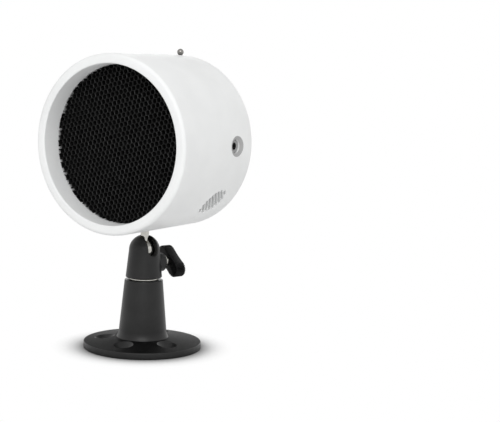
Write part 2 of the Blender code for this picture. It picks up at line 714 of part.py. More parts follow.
def make_ball_stud(chrome):
    """Ball with a stud that screws into the head. Its origin is the ball's centre."""
    neck = math.degrees(math.acos(STUD_RADIUS / BALL_RADIUS))
    ball = arc((0, 0), BALL_RADIUS, -90, neck, 10)
    ball[0] = (0, -BALL_RADIUS)
    thread_low = HOUSING_UNDERSIDE - GAP - BALL_CENTRE
    thread_high = thread_low + STUD_THREAD_LENGTH
    profile = [
        *ball,
        (STUD_RADIUS, thread_low),
        (STUD_THREAD_RADIUS, thread_low),
        (STUD_THREAD_RADIUS, thread_high),
        (0, thread_high),
    ]
    return turned("ball_stud", profile, COARSE, chrome, Matrix.Translation((0, 0, BALL_CENTRE)))


# ---------------------------------------------------------------- head: shell and front
def make_housing_shell(white, guide):
    """Round shell with a thick front lip, slanted vent slots, a dished inlet and small holes."""
    front = HOUSING_FRONT
    rear = HOUSING_REAR
    profile = [
        (LIP_RADIUS, front + LIP_EDGE),
        (LIP_RADIUS + LIP_EDGE, front),
        *arc((HOUSING_RADIUS - FRONT_FILLET, front + FRONT_FILLET), FRONT_FILLET, -90, 0, 3),
        *arc((HOUSING_RADIUS - REAR_FILLET, rear - REAR_FILLET), REAR_FILLET, 0, 90, 3),
        (BORE_RADIUS + RIM_EDGE, rear),
        (BORE_RADIUS, rear - RIM_EDGE),
        (BORE_RADIUS, front + LIP_DEPTH),
        (LIP_RADIUS, front + LIP_DEPTH),
    ]
    shell = turned("housing_shell", profile, FINE, white, AXIAL)
    insert_hole = rod_profile(INSERT_RADIUS + GAP, HOUSING_UNDERSIDE - WALL, HOUSING_UNDERSIDE + 2 * WALL)
    carve(shell, turned("cut_insert_hole", insert_hole, COARSE, guide))
    vent = outward(VENT_TURN, VENT_Y)
    slanted = vent @ Matrix.Rotation(VENT_SLANT, 4, "Z")
    slots = range(-(VENT_SLOTS // 2), VENT_SLOTS // 2 + 1)
    for number in slots:
        along = number * VENT_PITCH
        share = (abs(along) + VENT_SLOT_WIDTH / 2) / VENT_REACH
        half = VENT_HALF_LENGTH * math.sqrt(1 - share ** 2)
        size = (VENT_SLOT_WIDTH, 2 * half, 3 * WALL)
        centre = (along, 0, HOUSING_RADIUS - WALL)
        carve(shell, box(f"cut_vent_{number + VENT_SLOTS // 2 + 1}", size, centre, guide, slanted))
    for x, y in fan_corners():
        hole = rod_profile(FAN_SCREW_RADIUS + THREAD_GAP, FAN_SEAT,
                           FAN_SEAT + FAN_SCREW_REACH + GAP)
        place = vent @ Matrix.Translation((x, y, 0))
        carve(shell, turned("cut_fan_hole", hole, SMALL, guide, place))
    inlet = outward(0.0, JACK_Y)
    dish_radius = (JACK_DISH_RADIUS ** 2 + JACK_DISH_DEPTH ** 2) / (2 * JACK_DISH_DEPTH)
    dish_centre = HOUSING_RADIUS - JACK_DISH_DEPTH + dish_radius
    half_angle = math.degrees(math.asin(JACK_DISH_RADIUS / dish_radius))
    past_surface = 1.2 * half_angle
    dish = arc((0, dish_centre), dish_radius, -90, -90 + past_surface, 6)
    dish[0] = (0, dish[0][1])
    dish.append((0, dish[-1][1]))
    carve(shell, turned("cut_inlet_dish", dish, COARSE, guide, inlet))
    hole = rod_profile(JACK_RADIUS + GAP, BORE_RADIUS - WALL, HOUSING_RADIUS + WALL)
    carve(shell, turned("cut_inlet_hole", hole, COARSE, guide, inlet))
    top = outward(TOP_PIN_TURN, TOP_PIN_Y)
    hole = rod_profile(TOP_PIN_RADIUS + GAP, HOUSING_RADIUS - TOP_PIN_DEPTH - GAP, HOUSING_RADIUS + WALL)
    carve(shell, turned("cut_top_pin", hole, SMALL, guide, top))
    side = outward(PLUG_TURN, PLUG_Y)
    hole = rod_profile(PLUG_RADIUS + GAP, HOUSING_RADIUS - PLUG_DEPTH - GAP, HOUSING_RADIUS + WALL)
    carve(shell, turned("cut_side_plug", hole, SMALL, guide, side))
    return shell


def make_insert(brass, guide):
    """Flanged threaded insert, its flange curved to the housing's inside."""
    flange_low = HOUSING_UNDERSIDE + WALL + INSERT_FLANGE_LIFT
    flange_high = HOUSING_UNDERSIDE + WALL + GAP + INSERT_FLANGE_THICKNESS
    profile = [
        (STUD_THREAD_RADIUS + THREAD_GAP, HOUSING_UNDERSIDE + GAP),
        (INSERT_RADIUS, HOUSING_UNDERSIDE + GAP),
        (INSERT_RADIUS, flange_low),
        (INSERT_FLANGE_RADIUS, flange_low),
        (INSERT_FLANGE_RADIUS, flange_high),
        (STUD_THREAD_RADIUS + THREAD_GAP, flange_high),
    ]
    return turned("threaded_insert", profile, COARSE, brass)


def honeycomb_cells():
    """Hexagonal holes on a triangular grid that lie wholly inside the rim."""
    limit = LIP_RADIUS - CORE_RIM
    flats = CELL_PITCH - CELL_WALL
    reach = int(limit / CELL_PITCH) + 2
    cells = []
    for row in range(-reach, reach + 1):
        for column in range(-reach, reach + 1):
            x = CELL_PITCH * (column + (row % 2) / 2)
            y = CELL_PITCH * row * math.sqrt(3) / 2
            if math.hypot(x, y) + flats / math.sqrt(3) < limit:
                cells.append(hexagon(flats, (y, x)))
    return cells


def make_front_stack(black, orange, foam, steel, guide):
    """Honeycomb, emitter plate, heater, insulation and probe, front to back."""
    prism("honeycomb_core", circle(LIP_RADIUS - GAP, FINE), CORE_FRONT, CORE_FRONT + CORE_THICKNESS,
          black, AXIAL, holes=honeycomb_cells())
    probe_place = AXIAL @ Matrix.Translation((PROBE_X, 0, 0))
    plate = turned("emitter_plate", rod_profile(DISC_RADIUS, PLATE_FRONT, PLATE_FRONT + PLATE_THICKNESS),
                   FINE, black, AXIAL)
    pocket_floor = PLATE_FRONT + PLATE_THICKNESS - PROBE_POCKET
    probe_low = pocket_floor + GAP
    reach = CHASSIS_FRONT + CHASSIS_THICKNESS
    pocket = rod_profile(PROBE_RADIUS + GAP, pocket_floor, reach)
    probe_hole = circle(PROBE_RADIUS + GAP, COARSE, (PROBE_X, 0))
    carve(plate, turned("cut_probe_pocket", pocket, COARSE, guide, probe_place))
    prism("heater_pad", circle(HEATER_RADIUS, MEDIUM), HEATER_FRONT, HEATER_FRONT + HEATER_THICKNESS,
          orange, AXIAL, holes=[probe_hole])
    prism("insulation_disc", circle(DISC_RADIUS, MEDIUM), INSULATION_FRONT,
          INSULATION_FRONT + INSULATION_THICKNESS, foam, AXIAL, holes=[probe_hole])
    turned("temperature_probe", rod_profile(PROBE_RADIUS, probe_low, probe_low + PROBE_LENGTH),
           SMALL, steel, probe_place)


def make_chassis(aluminium, guide):
    """Ring behind the insulation with the three posts that the rear panel screws into."""
    ring = turned("chassis_ring", tube_profile(CHASSIS_BORE_RADIUS, DISC_RADIUS, CHASSIS_FRONT,
                                               CHASSIS_FRONT + CHASSIS_THICKNESS),
                  FINE, aluminium, AXIAL)
    top = PANEL_BACK - GAP
    thread = PANEL_SCREW_LENGTH
    for number, (x, y) in enumerate(PANEL_SCREWS, start=1):
        place = AXIAL @ Matrix.Translation((x, y, 0))
        low = CHASSIS_FRONT + CHASSIS_THICKNESS / 2
        post = turned(f"part_of_chassis_post_{number}", rod_profile(CHASSIS_POST_RADIUS, low, top),
                      SMALL, aluminium, place)
        fuse(ring, post)
        hole = rod_profile(PANEL_SCREW_RADIUS + THREAD_GAP, top - thread, top + thread)
        carve(ring, turned(f"cut_chassis_hole_{number}", hole, SMALL, guide, place))
    return ring


# ---------------------------------------------------------------- head: fan
def fan_corners():
    """The fan's four screw places, seen from outside."""
    offset = FAN_HOLE_OFFSET
    return [(sx * offset, sy * offset) for sx, sy in ((1, 1), (-1, 1), (-1, -1), (1, -1))]


def make_fan(black, aluminium, steel, guide):
    """Bracket, frame, rotor and screws, on an axis that points out of the vent."""
    vent = outward(VENT_TURN, VENT_Y)
    clear = FAN_SCREW_RADIUS + THREAD_GAP
    holes = [circle(FAN_BORE_RADIUS, COARSE)]
    holes += [circle(clear, 8, corner) for corner in fan_corners()]
    square = rounded_box((FAN_SIZE, FAN_SIZE), FAN_CORNER, steps=1)
    bracket = prism("fan_bracket", square, FAN_SEAT, BORE_RADIUS, aluminium, vent, holes=holes)
    wall = turned("limit_fan_bracket", rod_profile(DISC_RADIUS, CHASSIS_FRONT, PANEL_BACK),
                  FINE, guide, AXIAL)
    combine(bracket, wall, "INTERSECT")
    low = FAN_CENTRE - FAN_DEPTH / 2
    high = FAN_CENTRE + FAN_DEPTH / 2
    frame_piece = prism("fan_frame", square, low, high, black, vent, holes=holes)
    motor = turned("part_of_fan_motor", rod_profile(FAN_MOTOR_RADIUS, low, low + FAN_BACK),
                   COARSE, black, vent)
    fuse(frame_piece, motor)
    spoke_length = FAN_BORE_RADIUS + FAN_WALL / 2 - FAN_MOTOR_RADIUS / 2
    for number in range(FAN_SPOKES):
        turn = Matrix.Rotation(2 * math.pi * number / FAN_SPOKES, 4, "Z")
        centre = (FAN_MOTOR_RADIUS / 2 + spoke_length / 2, 0, low + FAN_BACK / 2)
        size = (spoke_length, FAN_SPOKE_WIDTH, FAN_SPOKE_THICKNESS)
        spoke = box(f"part_of_fan_spoke_{number + 1}", size, centre, black, vent @ turn)
        fuse(frame_piece, spoke)
    rotor_low = low + FAN_BACK + GAP
    rotor_high = high - GAP
    depth = rotor_high - rotor_low
    at_fan = outward(VENT_TURN, VENT_Y, rotor_low + depth / 2)
    rotor = turned("fan_rotor", rod_profile(FAN_HUB_RADIUS, -depth / 2, depth / 2),
                   COARSE, black, at_fan)
    blade_width = (depth - 2 * FAN_BLADE_MARGIN) / math.cos(FAN_BLADE_PITCH) - FAN_BLADE_THICKNESS
    for number in range(FAN_BLADES):
        spin = Matrix.Rotation(2 * math.pi * number / FAN_BLADES, 4, "Z")
        pitch = Matrix.Rotation(FAN_BLADE_PITCH, 4, "X")
        size = (FAN_BLADE_RADIUS - FAN_BLADE_ROOT, FAN_BLADE_THICKNESS, blade_width)
        centre = ((FAN_BLADE_RADIUS + FAN_BLADE_ROOT) / 2, 0, 0)
        blade = box(f"part_of_fan_blade_{number + 1}", size, centre, black, at_fan @ spin @ pitch)
        fuse(rotor, blade)
    tip = low - GAP
    for number, (x, y) in enumerate(fan_corners(), start=1):
        place = vent @ Matrix.Translation((x, y, 0))
        turned(f"fan_screw_{number}", [
            (0, tip - FAN_SCREW_HEAD),
            (FAN_SCREW_HEAD_RADIUS, tip - FAN_SCREW_HEAD),
            (FAN_SCREW_HEAD_RADIUS, tip),
            (FAN_SCREW_RADIUS, tip),
            (FAN_SCREW_RADIUS, FAN_SEAT + FAN_SCREW_REACH),
            (0, FAN_SEAT + FAN_SCREW_REACH),
        ], SMALL, steel, place)
    return rotor


# ---------------------------------------------------------------- head: inlet, pin and plug
def make_inlet(black, steel):
    """Round power jack in the dished recess, with its inner nut."""
    inlet = outward(0.0, JACK_Y)
    front = HOUSING_RADIUS - JACK_DISH_DEPTH - GAP
    back = front - JACK_LENGTH
    turned("jack_body", [
        (0, back),
        (JACK_RADIUS, back),
        (JACK_RADIUS, front),
        (JACK_BORE_RADIUS, front),
        (JACK_BORE_RADIUS, back + JACK_BACK),
        (0, back + JACK_BACK),
    ], COARSE, black, inlet)
    pin_low = back + JACK_BACK + GAP
    turned("jack_pin", rod_profile(JACK_PIN_RADIUS, pin_low, front - JACK_BACK / 2), SMALL, steel, inlet)
    nut_high = math.sqrt(BORE_RADIUS ** 2 - JACK_NUT_RADIUS ** 2) - GAP
    turned("jack_nut", tube_profile(JACK_RADIUS + GAP, JACK_NUT_RADIUS, nut_high - JACK_NUT_THICKNESS,
                                    nut_high), COARSE, steel, inlet)


def make_top_pin(chrome):
    """Small polished ball on a pin, pressed into the top of the housing."""
    top = outward(TOP_PIN_TURN, TOP_PIN_Y)
    centre = HOUSING_RADIUS + TOP_PIN_RISE
    neck = -math.degrees(math.acos(TOP_PIN_RADIUS / TOP_PIN_BALL_RADIUS))
    ball = arc((0, centre), TOP_PIN_BALL_RADIUS, neck, 90, 6)
    ball[-1] = (0, centre + TOP_PIN_BALL_RADIUS)
    low = HOUSING_RADIUS - TOP_PIN_DEPTH
    turned("top_ball_pin", [(0, low), (TOP_PIN_RADIUS, low), *ball], SMALL, chrome, top)


def make_side_plug(white):
    """Blanking plug near the front, just below the surface."""
    side = outward(PLUG_TURN, PLUG_Y)
    plug = rod_profile(PLUG_RADIUS, HOUSING_RADIUS - PLUG_DEPTH, HOUSING_RADIUS - PLUG_SINK)
    turned("side_plug", plug, SMALL, white, side)


# ---------------------------------------------------------------- head: rear panel
def make_rear_panel(grey, guide):
    """Round panel with pockets, a window and the connectors' openings."""
    rear = behind(PANEL_FACE)
    panel = turned("rear_panel", rod_profile(DISC_RADIUS, -PANEL_THICKNESS, 0), FINE, grey, rear)
    above = PANEL_THICKNESS
    through = -2 * PANEL_THICKNESS
    button_room = grown(BUTTON_SIZE, 2 * GAP)
    openings = [
        ("window", rounded_box(WINDOW_SIZE, WINDOW_CORNER, WINDOW_CENTRE), through),
        ("label", rounded_box(grown(LABEL_SIZE, 2 * GAP), PLATE_CORNER, LABEL_CENTRE), -POCKET_DEPTH),
        ("keypad", rounded_box(KEYPAD_SIZE, PLATE_CORNER, KEYPAD_CENTRE), -POCKET_DEPTH),
        ("usb", rounded_box(grown(USB_SIZE, 2 * GAP), USB_SIZE[1] / 2, USB_CENTRE), through),
        ("serial_recess", rounded_box(SERIAL_RECESS, SERIAL_RECESS_CORNER, SERIAL_CENTRE),
         SERIAL_FLOOR - PANEL_THICKNESS),
        ("serial", d_outline(grown(SERIAL_SHELL, 2 * GAP), SERIAL_CORNER, SERIAL_CENTRE), through),
    ]
    for key, height in BUTTON_HEIGHTS.items():
        outline = rounded_box(button_room, BUTTON_CORNER, (BUTTON_X, height))
        openings.append((f"button_{key}", outline, through))
    for side in (-1, 1):
        place = (SERIAL_CENTRE[0] + side * SERIAL_SCREW_SPACING / 2, SERIAL_CENTRE[1])
        openings.append((f"jackscrew_{side + 2}", circle(SERIAL_SCREW_RADIUS + THREAD_GAP, SMALL, place),
                         through))
    for number, place in enumerate(PANEL_SCREWS, start=1):
        head_room = circle(PANEL_SCREW_HEAD_RADIUS + GAP, COARSE, place)
        openings.append((f"screw_head_{number}", head_room, -PANEL_SCREW_HEAD - 2 * GAP))
        shank_room = circle(PANEL_SCREW_RADIUS + THREAD_GAP, SMALL, place)
        openings.append((f"screw_{number}", shank_room, through))
    for name, outline, low in openings:
        carve(panel, prism(f"cut_{name}", outline, low, above, guide, rear))
    return panel


def grown(size, extra):
    """A width and height made larger by the same amount."""
    return (size[0] + extra, size[1] + extra)


def make_panel_screws(steel, guide):
    """Three socket screws, sunk into the panel."""
    rear = behind(PANEL_FACE)
    seat = -PANEL_SCREW_HEAD - GAP
    for number, place in enumerate(PANEL_SCREWS, start=1):
        at_screw = rear @ Matrix.Translation((*place, 0))
        end = seat - PANEL_SCREW_LENGTH
        screw = turned(f"panel_screw_{number}", [
            (0, end),
            (PANEL_SCREW_RADIUS, end),
            (PANEL_SCREW_RADIUS, seat),
            (PANEL_SCREW_HEAD_RADIUS, seat),
            (PANEL_SCREW_HEAD_RADIUS, -GAP),
            (0, -GAP),
        ], SMALL, steel, at_screw)
        socket = hexagon(2 * PANEL_SCREW_SOCKET)
        carve(screw, prism(f"cut_screw_socket_{number}", socket, -PANEL_SCREW_HEAD * 0.8,
                           PANEL_SCREW_HEAD, guide, at_screw))


def make_label(silver, white):
    """Plate in its pocket, with a sticker across it."""
    rear = behind(PANEL_FACE)
    floor = -POCKET_DEPTH + GAP
    sticker_low = -STICKER_THICKNESS
    prism("label_plate", rounded_box(LABEL_SIZE, PLATE_CORNER - GAP, LABEL_CENTRE), floor,
          sticker_low - GAP, silver, rear)
    prism("reference_sticker", rounded_box(STICKER_SIZE, GAP, STICKER_CENTRE, 1), sticker_low, 0,
          white, rear)


def make_keypad(silver, dark, guide):
    """Plate with two buttons, each over its own switch on the board."""
    rear = behind(PANEL_FACE)
    plate_size = grown(KEYPAD_SIZE, -2 * GAP)
    room = grown(BUTTON_SIZE, 2 * GAP)
    holes = [rounded_box(room, BUTTON_CORNER, (BUTTON_X, height)) for height in BUTTON_HEIGHTS.values()]
    prism("keypad_plate", rounded_box(plate_size, PLATE_CORNER - GAP, KEYPAD_CENTRE),
          -POCKET_DEPTH + GAP, 0, silver, rear, holes=holes)
    flange_high = -PANEL_THICKNESS - GAP
    flange_low = flange_high - BUTTON_FLANGE
    switch_low = -PANEL_THICKNESS - BOARD_GAP + GAP
    stem_high = flange_low - BUTTON_TRAVEL - GAP
    buttons = []
    for key, height in BUTTON_HEIGHTS.items():
        place = rear @ Matrix.Translation((BUTTON_X, height, 0))
        cap = rounded_box(BUTTON_SIZE, BUTTON_CORNER - GAP)
        inset = BUTTON_PROUD / 2
        top = rounded_box(grown(BUTTON_SIZE, -2 * inset), BUTTON_CORNER - GAP - inset)
        button = lofted(f"button_{key}", [
            (cap, flange_low),
            (cap, BUTTON_PROUD - inset),
            (top, BUTTON_PROUD),
        ], dark, place)
        flange = rounded_box(grown(BUTTON_SIZE, 2 * BUTTON_FLANGE), BUTTON_CORNER)
        fuse(button, prism(f"part_of_button_{key}_flange", flange, flange_low - GAP, flange_high,
                           dark, place))
        buttons.append(button)
        switch = lofted(f"switch_{key}", [
            (rounded_box((SWITCH_SIZE, SWITCH_SIZE), GAP, steps=1), switch_low),
            (rounded_box((SWITCH_SIZE, SWITCH_SIZE), GAP, steps=1), stem_high - SWITCH_STEM - GAP),
        ], dark, place)
        stem = rod_profile(SWITCH_STEM_RADIUS, stem_high - 3 * SWITCH_STEM, stem_high - GAP)
        fuse(switch, turned(f"part_of_switch_{key}_stem", stem, SMALL, dark, place))
    return buttons


def make_display(glass, board_blue):
    """Window in the panel with the display module behind it."""
    rear = behind(PANEL_FACE)
    lens = rounded_box(grown(WINDOW_SIZE, -2 * GAP), WINDOW_CORNER - GAP, WINDOW_CENTRE)
    prism("display_glass", lens, -WINDOW_SINK - WINDOW_THICKNESS, -WINDOW_SINK, glass, rear)
    module = rounded_box((DISPLAY_SIZE, DISPLAY_SIZE), DISPLAY_CORNER, WINDOW_CENTRE)
    high = -PANEL_THICKNESS - GAP
    prism("display_module", module, high - DISPLAY_THICKNESS, high, board_blue, rear)


def pin_places():
    """The nine pins, in a row of five over a row of four."""
    places = []
    for row, count in enumerate(PIN_ROWS):
        for number in range(count):
            x = (number - (count - 1) / 2) * PIN_PITCH
            y = (0.5 - row) * PIN_ROW
            places.append((SERIAL_CENTRE[0] + x, SERIAL_CENTRE[1] + y))
    return places


def make_serial(steel, black, gold, guide):
    """Nine-pin connector behind the recess, with two hex jackscrews."""
    rear = behind(PANEL_FACE)
    flange_high = -PANEL_THICKNESS - GAP
    flange_low = flange_high - SERIAL_FLANGE_THICKNESS
    spots = [(SERIAL_CENTRE[0] + side * SERIAL_SCREW_SPACING / 2, SERIAL_CENTRE[1]) for side in (-1, 1)]
    clear = SERIAL_SCREW_RADIUS + THREAD_GAP
    shell_inner = d_outline(grown(SERIAL_SHELL, -2 * SERIAL_SHELL_WALL),
                            SERIAL_CORNER - SERIAL_SHELL_WALL, SERIAL_CENTRE)
    shell = prism("serial_shell", d_outline(SERIAL_SHELL, SERIAL_CORNER, SERIAL_CENTRE),
                  flange_low, SERIAL_SHELL_PROUD, steel, rear, holes=[shell_inner])
    flange = prism("part_of_serial_flange", rounded_box(SERIAL_FLANGE, SERIAL_CORNER, SERIAL_CENTRE),
                   flange_low, flange_high, steel, rear,
                   holes=[shell_inner, *(circle(clear, SMALL, spot) for spot in spots)])
    fuse(shell, flange)
    block_high = flange_low - GAP
    strip_low = -PANEL_THICKNESS - BOARD_GAP + GAP
    strip_high = strip_low + PIN_STRIP_THICKNESS
    block_low = strip_high + GAP
    inner_size = grown(SERIAL_SHELL, -2 * SERIAL_SHELL_WALL - 2 * GAP)
    inner_corner = SERIAL_CORNER - SERIAL_SHELL_WALL - GAP
    insulator = prism("serial_insulator", d_outline(inner_size, inner_corner, SERIAL_CENTRE), block_low,
                      block_high + SERIAL_BOSS, black, rear,
                      holes=[circle(PIN_RADIUS + GAP, 8, place) for place in pin_places()])
    waist = d_outline(grown(inner_size, -2 * GAP), inner_corner, SERIAL_CENTRE)
    fuse(insulator, prism("part_of_serial_block", rounded_box(SERIAL_BLOCK, SERIAL_CORNER / 2, SERIAL_CENTRE),
                          block_low + GAP, block_high, black, rear, holes=[waist]))
    pins = prism("serial_pins", rounded_box(PIN_STRIP, PIN_RADIUS, SERIAL_CENTRE, 1), strip_low,
                 strip_high, gold, rear)
    for number, place in enumerate(pin_places(), start=1):
        fuse(pins, prism(f"part_of_serial_pin_{number}", circle(PIN_RADIUS, 8, place),
                         strip_high - GAP, SERIAL_SHELL_PROUD - PIN_RECESS, gold, rear))
    floor = SERIAL_FLOOR - PANEL_THICKNESS
    for number, spot in enumerate(spots, start=1):
        low = floor + GAP
        screw = prism(f"jackscrew_{number}", hexagon(SERIAL_SCREW_FLATS, spot, math.pi / 6), low,
                      SERIAL_SCREW_PROUD, steel, rear)
        place = rear @ Matrix.Translation((*spot, 0))
        shank = rod_profile(SERIAL_SCREW_RADIUS, flange_low - SERIAL_BOSS, low + SERIAL_FLOOR)
        fuse(screw, turned(f"part_of_jackscrew_{number}", shank, SMALL, steel, place))
        bore = rod_profile(SERIAL_SCREW_RADIUS, SERIAL_SCREW_PROUD - SERIAL_SCREW_BORE,
                           SERIAL_SCREW_PROUD + SERIAL_SCREW_BORE)
        carve(screw, turned(f"cut_jackscrew_{number}", bore, SMALL, guide, place))


def make_usb(steel, black):
    """Small USB socket standing on the board's tab."""
    rear = behind(PANEL_FACE)
    low = -PANEL_THICKNESS - BOARD_GAP + GAP
    inner = grown(USB_SIZE, -2 * USB_WALL)
    prism("usb_shell", rounded_box(USB_SIZE, USB_CORNER, USB_CENTRE), low, USB_PROUD, steel, rear,
          holes=[rounded_box(inner, USB_CORNER - USB_WALL, USB_CENTRE)])
    back = rounded_box(grown(inner, -2 * GAP), inner[1] / 2 - 2 * GAP, USB_CENTRE)
    tongue = prism("usb_tongue", back, low, low + USB_BACK, black, rear)
    blade = rounded_box(USB_TONGUE, GAP / 2, USB_CENTRE, 1)
    fuse(tongue, prism("part_of_usb_tongue", blade, low + USB_BACK / 2, -USB_TONGUE_SINK, black, rear))


def make_board(green, steel):
    """Control board on four standoffs, with a tab below for the USB socket."""
    rear = behind(PANEL_FACE)
    high = -PANEL_THICKNESS - BOARD_GAP
    half = BOARD_HALF_WIDTH
    tab = BOARD_TAB_HALF_WIDTH
    outline = [(-half, BOARD_TOP), (-half, BOARD_BOTTOM), (-tab, BOARD_BOTTOM), (-tab, BOARD_TAB_BOTTOM),
               (tab, BOARD_TAB_BOTTOM), (tab, BOARD_BOTTOM), (half, BOARD_BOTTOM), (half, BOARD_TOP)]
    prism("control_board", outline, high - BOARD_THICKNESS, high, green, rear)
    for number, (x, y) in enumerate(STANDOFFS, start=1):
        place = rear @ Matrix.Translation((x, y, 0))
        post = rod_profile(STANDOFF_RADIUS, high + GAP, -PANEL_THICKNESS - GAP)
        turned(f"board_standoff_{number}", post, SMALL, steel, place)


# ---------------------------------------------------------------- the whole
def main():
    """Builds the stand, the clamp and the head."""
    clear_scene()
    guide = finish("guide", (0.8, 0.2, 0.2), 0.5)
    stand_black = finish("stand_black", (0.045, 0.045, 0.046), 0.42, 0.3)
    knob_black = finish("knob_black", (0.018, 0.018, 0.018), 0.45)
    chrome = finish("chrome", (0.80, 0.79, 0.76), 0.12, 1.0)
    steel = finish("steel", (0.62, 0.61, 0.58), 0.28, 1.0)
    nylon = finish("nylon", (0.75, 0.74, 0.70), 0.5)
    shell_white = finish("shell_white", (0.86, 0.87, 0.87), 0.35)
    core_black = finish("core_black", (0.012, 0.012, 0.013), 0.6)
    heater_orange = finish("heater_orange", (0.65, 0.22, 0.05), 0.5)
    foam = finish("foam", (0.62, 0.60, 0.52), 0.9)
    aluminium = finish("aluminium", (0.70, 0.70, 0.71), 0.35, 1.0)
    brass = finish("brass", (0.72, 0.56, 0.26), 0.3, 1.0)
    panel_grey = finish("panel_grey", (0.075, 0.075, 0.078), 0.45)
    plate_silver = finish("plate_silver", (0.73, 0.73, 0.72), 0.4)
    sticker_white = finish("sticker_white", (0.90, 0.90, 0.90), 0.5)
    button_dark = finish("button_dark", (0.08, 0.08, 0.078), 0.5)
    window_violet = finish("window_violet", (0.10, 0.08, 0.115), 0.1)
    board_green = finish("board_green", (0.02, 0.14, 0.06), 0.4)
    insulator_black = finish("insulator_black", (0.02, 0.02, 0.02), 0.5)
    gold = finish("gold", (0.83, 0.64, 0.28), 0.25, 1.0)

    make_base_post(stand_black, guide)
    make_swivel(steel, guide)
    make_clamp_head(stand_black, guide)
    make_ball_seat(nylon, guide)
    make_knob(knob_black, steel, guide)
    make_ball_stud(chrome)

    before = set(bpy.data.objects)
    make_housing_shell(shell_white, guide)
    make_insert(brass, guide)
    make_front_stack(core_black, heater_orange, foam, steel, guide)
    make_chassis(aluminium, guide)
    make_fan(insulator_black, aluminium, steel, guide)
    make_inlet(insulator_black, steel)
    make_top_pin(chrome)
    make_side_plug(shell_white)
    make_rear_panel(panel_grey, guide)
    make_panel_screws(steel, guide)
    make_label(plate_silver, sticker_white)
    make_keypad(plate_silver, button_dark, guide)
    make_display(window_violet, board_green)
    make_serial(steel, insulator_black, gold, guide)
    make_usb(steel, insulator_black)
    make_board(board_green, steel)
    head_pieces = [piece for piece in bpy.data.objects if piece not in before]
    ride(head_pieces, pivot_at("head_pivot", (0, 0, BALL_CENTRE)))


main()
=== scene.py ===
"""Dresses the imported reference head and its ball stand: smooth shells, fine cells, finishes, light."""
import math
import random

import bmesh
import bpy
from mathutils import Matrix, Vector


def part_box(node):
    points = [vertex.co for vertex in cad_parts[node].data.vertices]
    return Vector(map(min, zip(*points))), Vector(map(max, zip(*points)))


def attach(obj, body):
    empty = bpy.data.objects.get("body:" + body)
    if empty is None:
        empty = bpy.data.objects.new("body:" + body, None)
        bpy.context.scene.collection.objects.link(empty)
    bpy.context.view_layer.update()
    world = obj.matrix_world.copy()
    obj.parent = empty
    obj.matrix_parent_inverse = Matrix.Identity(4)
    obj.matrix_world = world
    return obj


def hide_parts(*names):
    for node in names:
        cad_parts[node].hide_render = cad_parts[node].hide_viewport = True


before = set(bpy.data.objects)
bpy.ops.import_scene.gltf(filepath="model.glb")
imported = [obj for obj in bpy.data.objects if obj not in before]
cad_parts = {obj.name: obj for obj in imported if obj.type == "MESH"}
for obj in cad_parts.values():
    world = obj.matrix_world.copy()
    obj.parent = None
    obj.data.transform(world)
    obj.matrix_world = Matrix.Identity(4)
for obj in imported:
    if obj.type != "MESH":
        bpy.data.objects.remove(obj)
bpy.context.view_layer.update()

GAP = 0.0003                      # room left between neighbouring pieces
FINE = 192                        # sides of the largest round surfaces
MEDIUM = 96                       # sides of the middling ones
SMALL = 40                        # sides of screws, rods and small holes

# Places that the looks share with the CAD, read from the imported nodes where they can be.
SHELL_LOW, SHELL_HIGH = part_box("housing_shell")
RADIUS = (SHELL_HIGH.x - SHELL_LOW.x) / 2
AXIS = (SHELL_HIGH.z + SHELL_LOW.z) / 2
FRONT = SHELL_LOW.y
REAR = SHELL_HIGH.y
WALL = 0.0038
BORE = RADIUS - WALL
LIP_RADIUS = RADIUS - 0.0066
CORE_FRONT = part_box("honeycomb_core")[0].y
CORE_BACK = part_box("honeycomb_core")[1].y
LIP_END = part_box("emitter_plate")[0].y - GAP
PANEL_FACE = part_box("rear_panel")[1].y
PANEL_THICKNESS = PANEL_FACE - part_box("rear_panel")[0].y
HOUSING_BOTTOM = AXIS - RADIUS
BALL = 0.0663                     # height of the ball's centre
BALL_RADIUS = 0.0070
STUD_NECK = 0.00285
KNOB_HEIGHT = 0.0569
CLAMP_TURN = math.radians(-18.6)  # about the post

# Places on the housing's side: a turn about its axis, as in sideways, and a place along it.
VENT_TURN = math.radians(-40.0)
VENT_SLANT = math.radians(45.0)
VENT_Y = 0.0132
JACK_Y = 0.0200
TOP_PIN_TURN = math.radians(89.0)
TOP_PIN_Y = 0.0360
PLUG_TURN = math.radians(166.0)
PLUG_Y = -0.0330

# Places on the rear panel: size, corner radius and centre, or a centre alone.
LABEL = ((0.0276, 0.0354), 0.0027, (-0.0330, 0.0013))
KEYPAD = ((0.0284, 0.0354), 0.0027, (0.0332, 0.0019))
WINDOW = ((0.0249, 0.0130), 0.0008, (0.0, 0.0019))
BUTTON = ((0.0135, 0.0132), 0.0027)
BUTTONS = {"plus": (0.0278, 0.0112), "minus": (0.0278, -0.0074)}
SCREWS = ((0.0389, 0.0234), (-0.0416, 0.0216), (-0.0207, -0.0417))
SERIAL = (0.0, -0.0282)
SERIAL_SHELL = (0.0169, 0.0083)
SERIAL_CORNER = 0.0018
SERIAL_FLANGE = (0.0308, 0.0125)
JACKSCREWS = tuple((side * 0.02499 / 2, SERIAL[1]) for side in (-1, 1))
JACKSCREW_HOLE = 0.0017
USB = (0.0, -0.0420)
USB_SHELL = ((0.0089, 0.0033), 0.00162)
INLET_SIGN = (-0.0500, -0.0008)


# ---------------------------------------------------------------- placements
def placed(origin, x_axis, z_axis):
    """A placement whose local X and Z run along the given directions."""
    z_axis = Vector(z_axis).normalized()
    x_axis = Vector(x_axis).normalized()
    turn = Matrix((x_axis, z_axis.cross(x_axis), z_axis)).transposed().to_4x4()
    return Matrix.Translation(Vector(origin)) @ turn


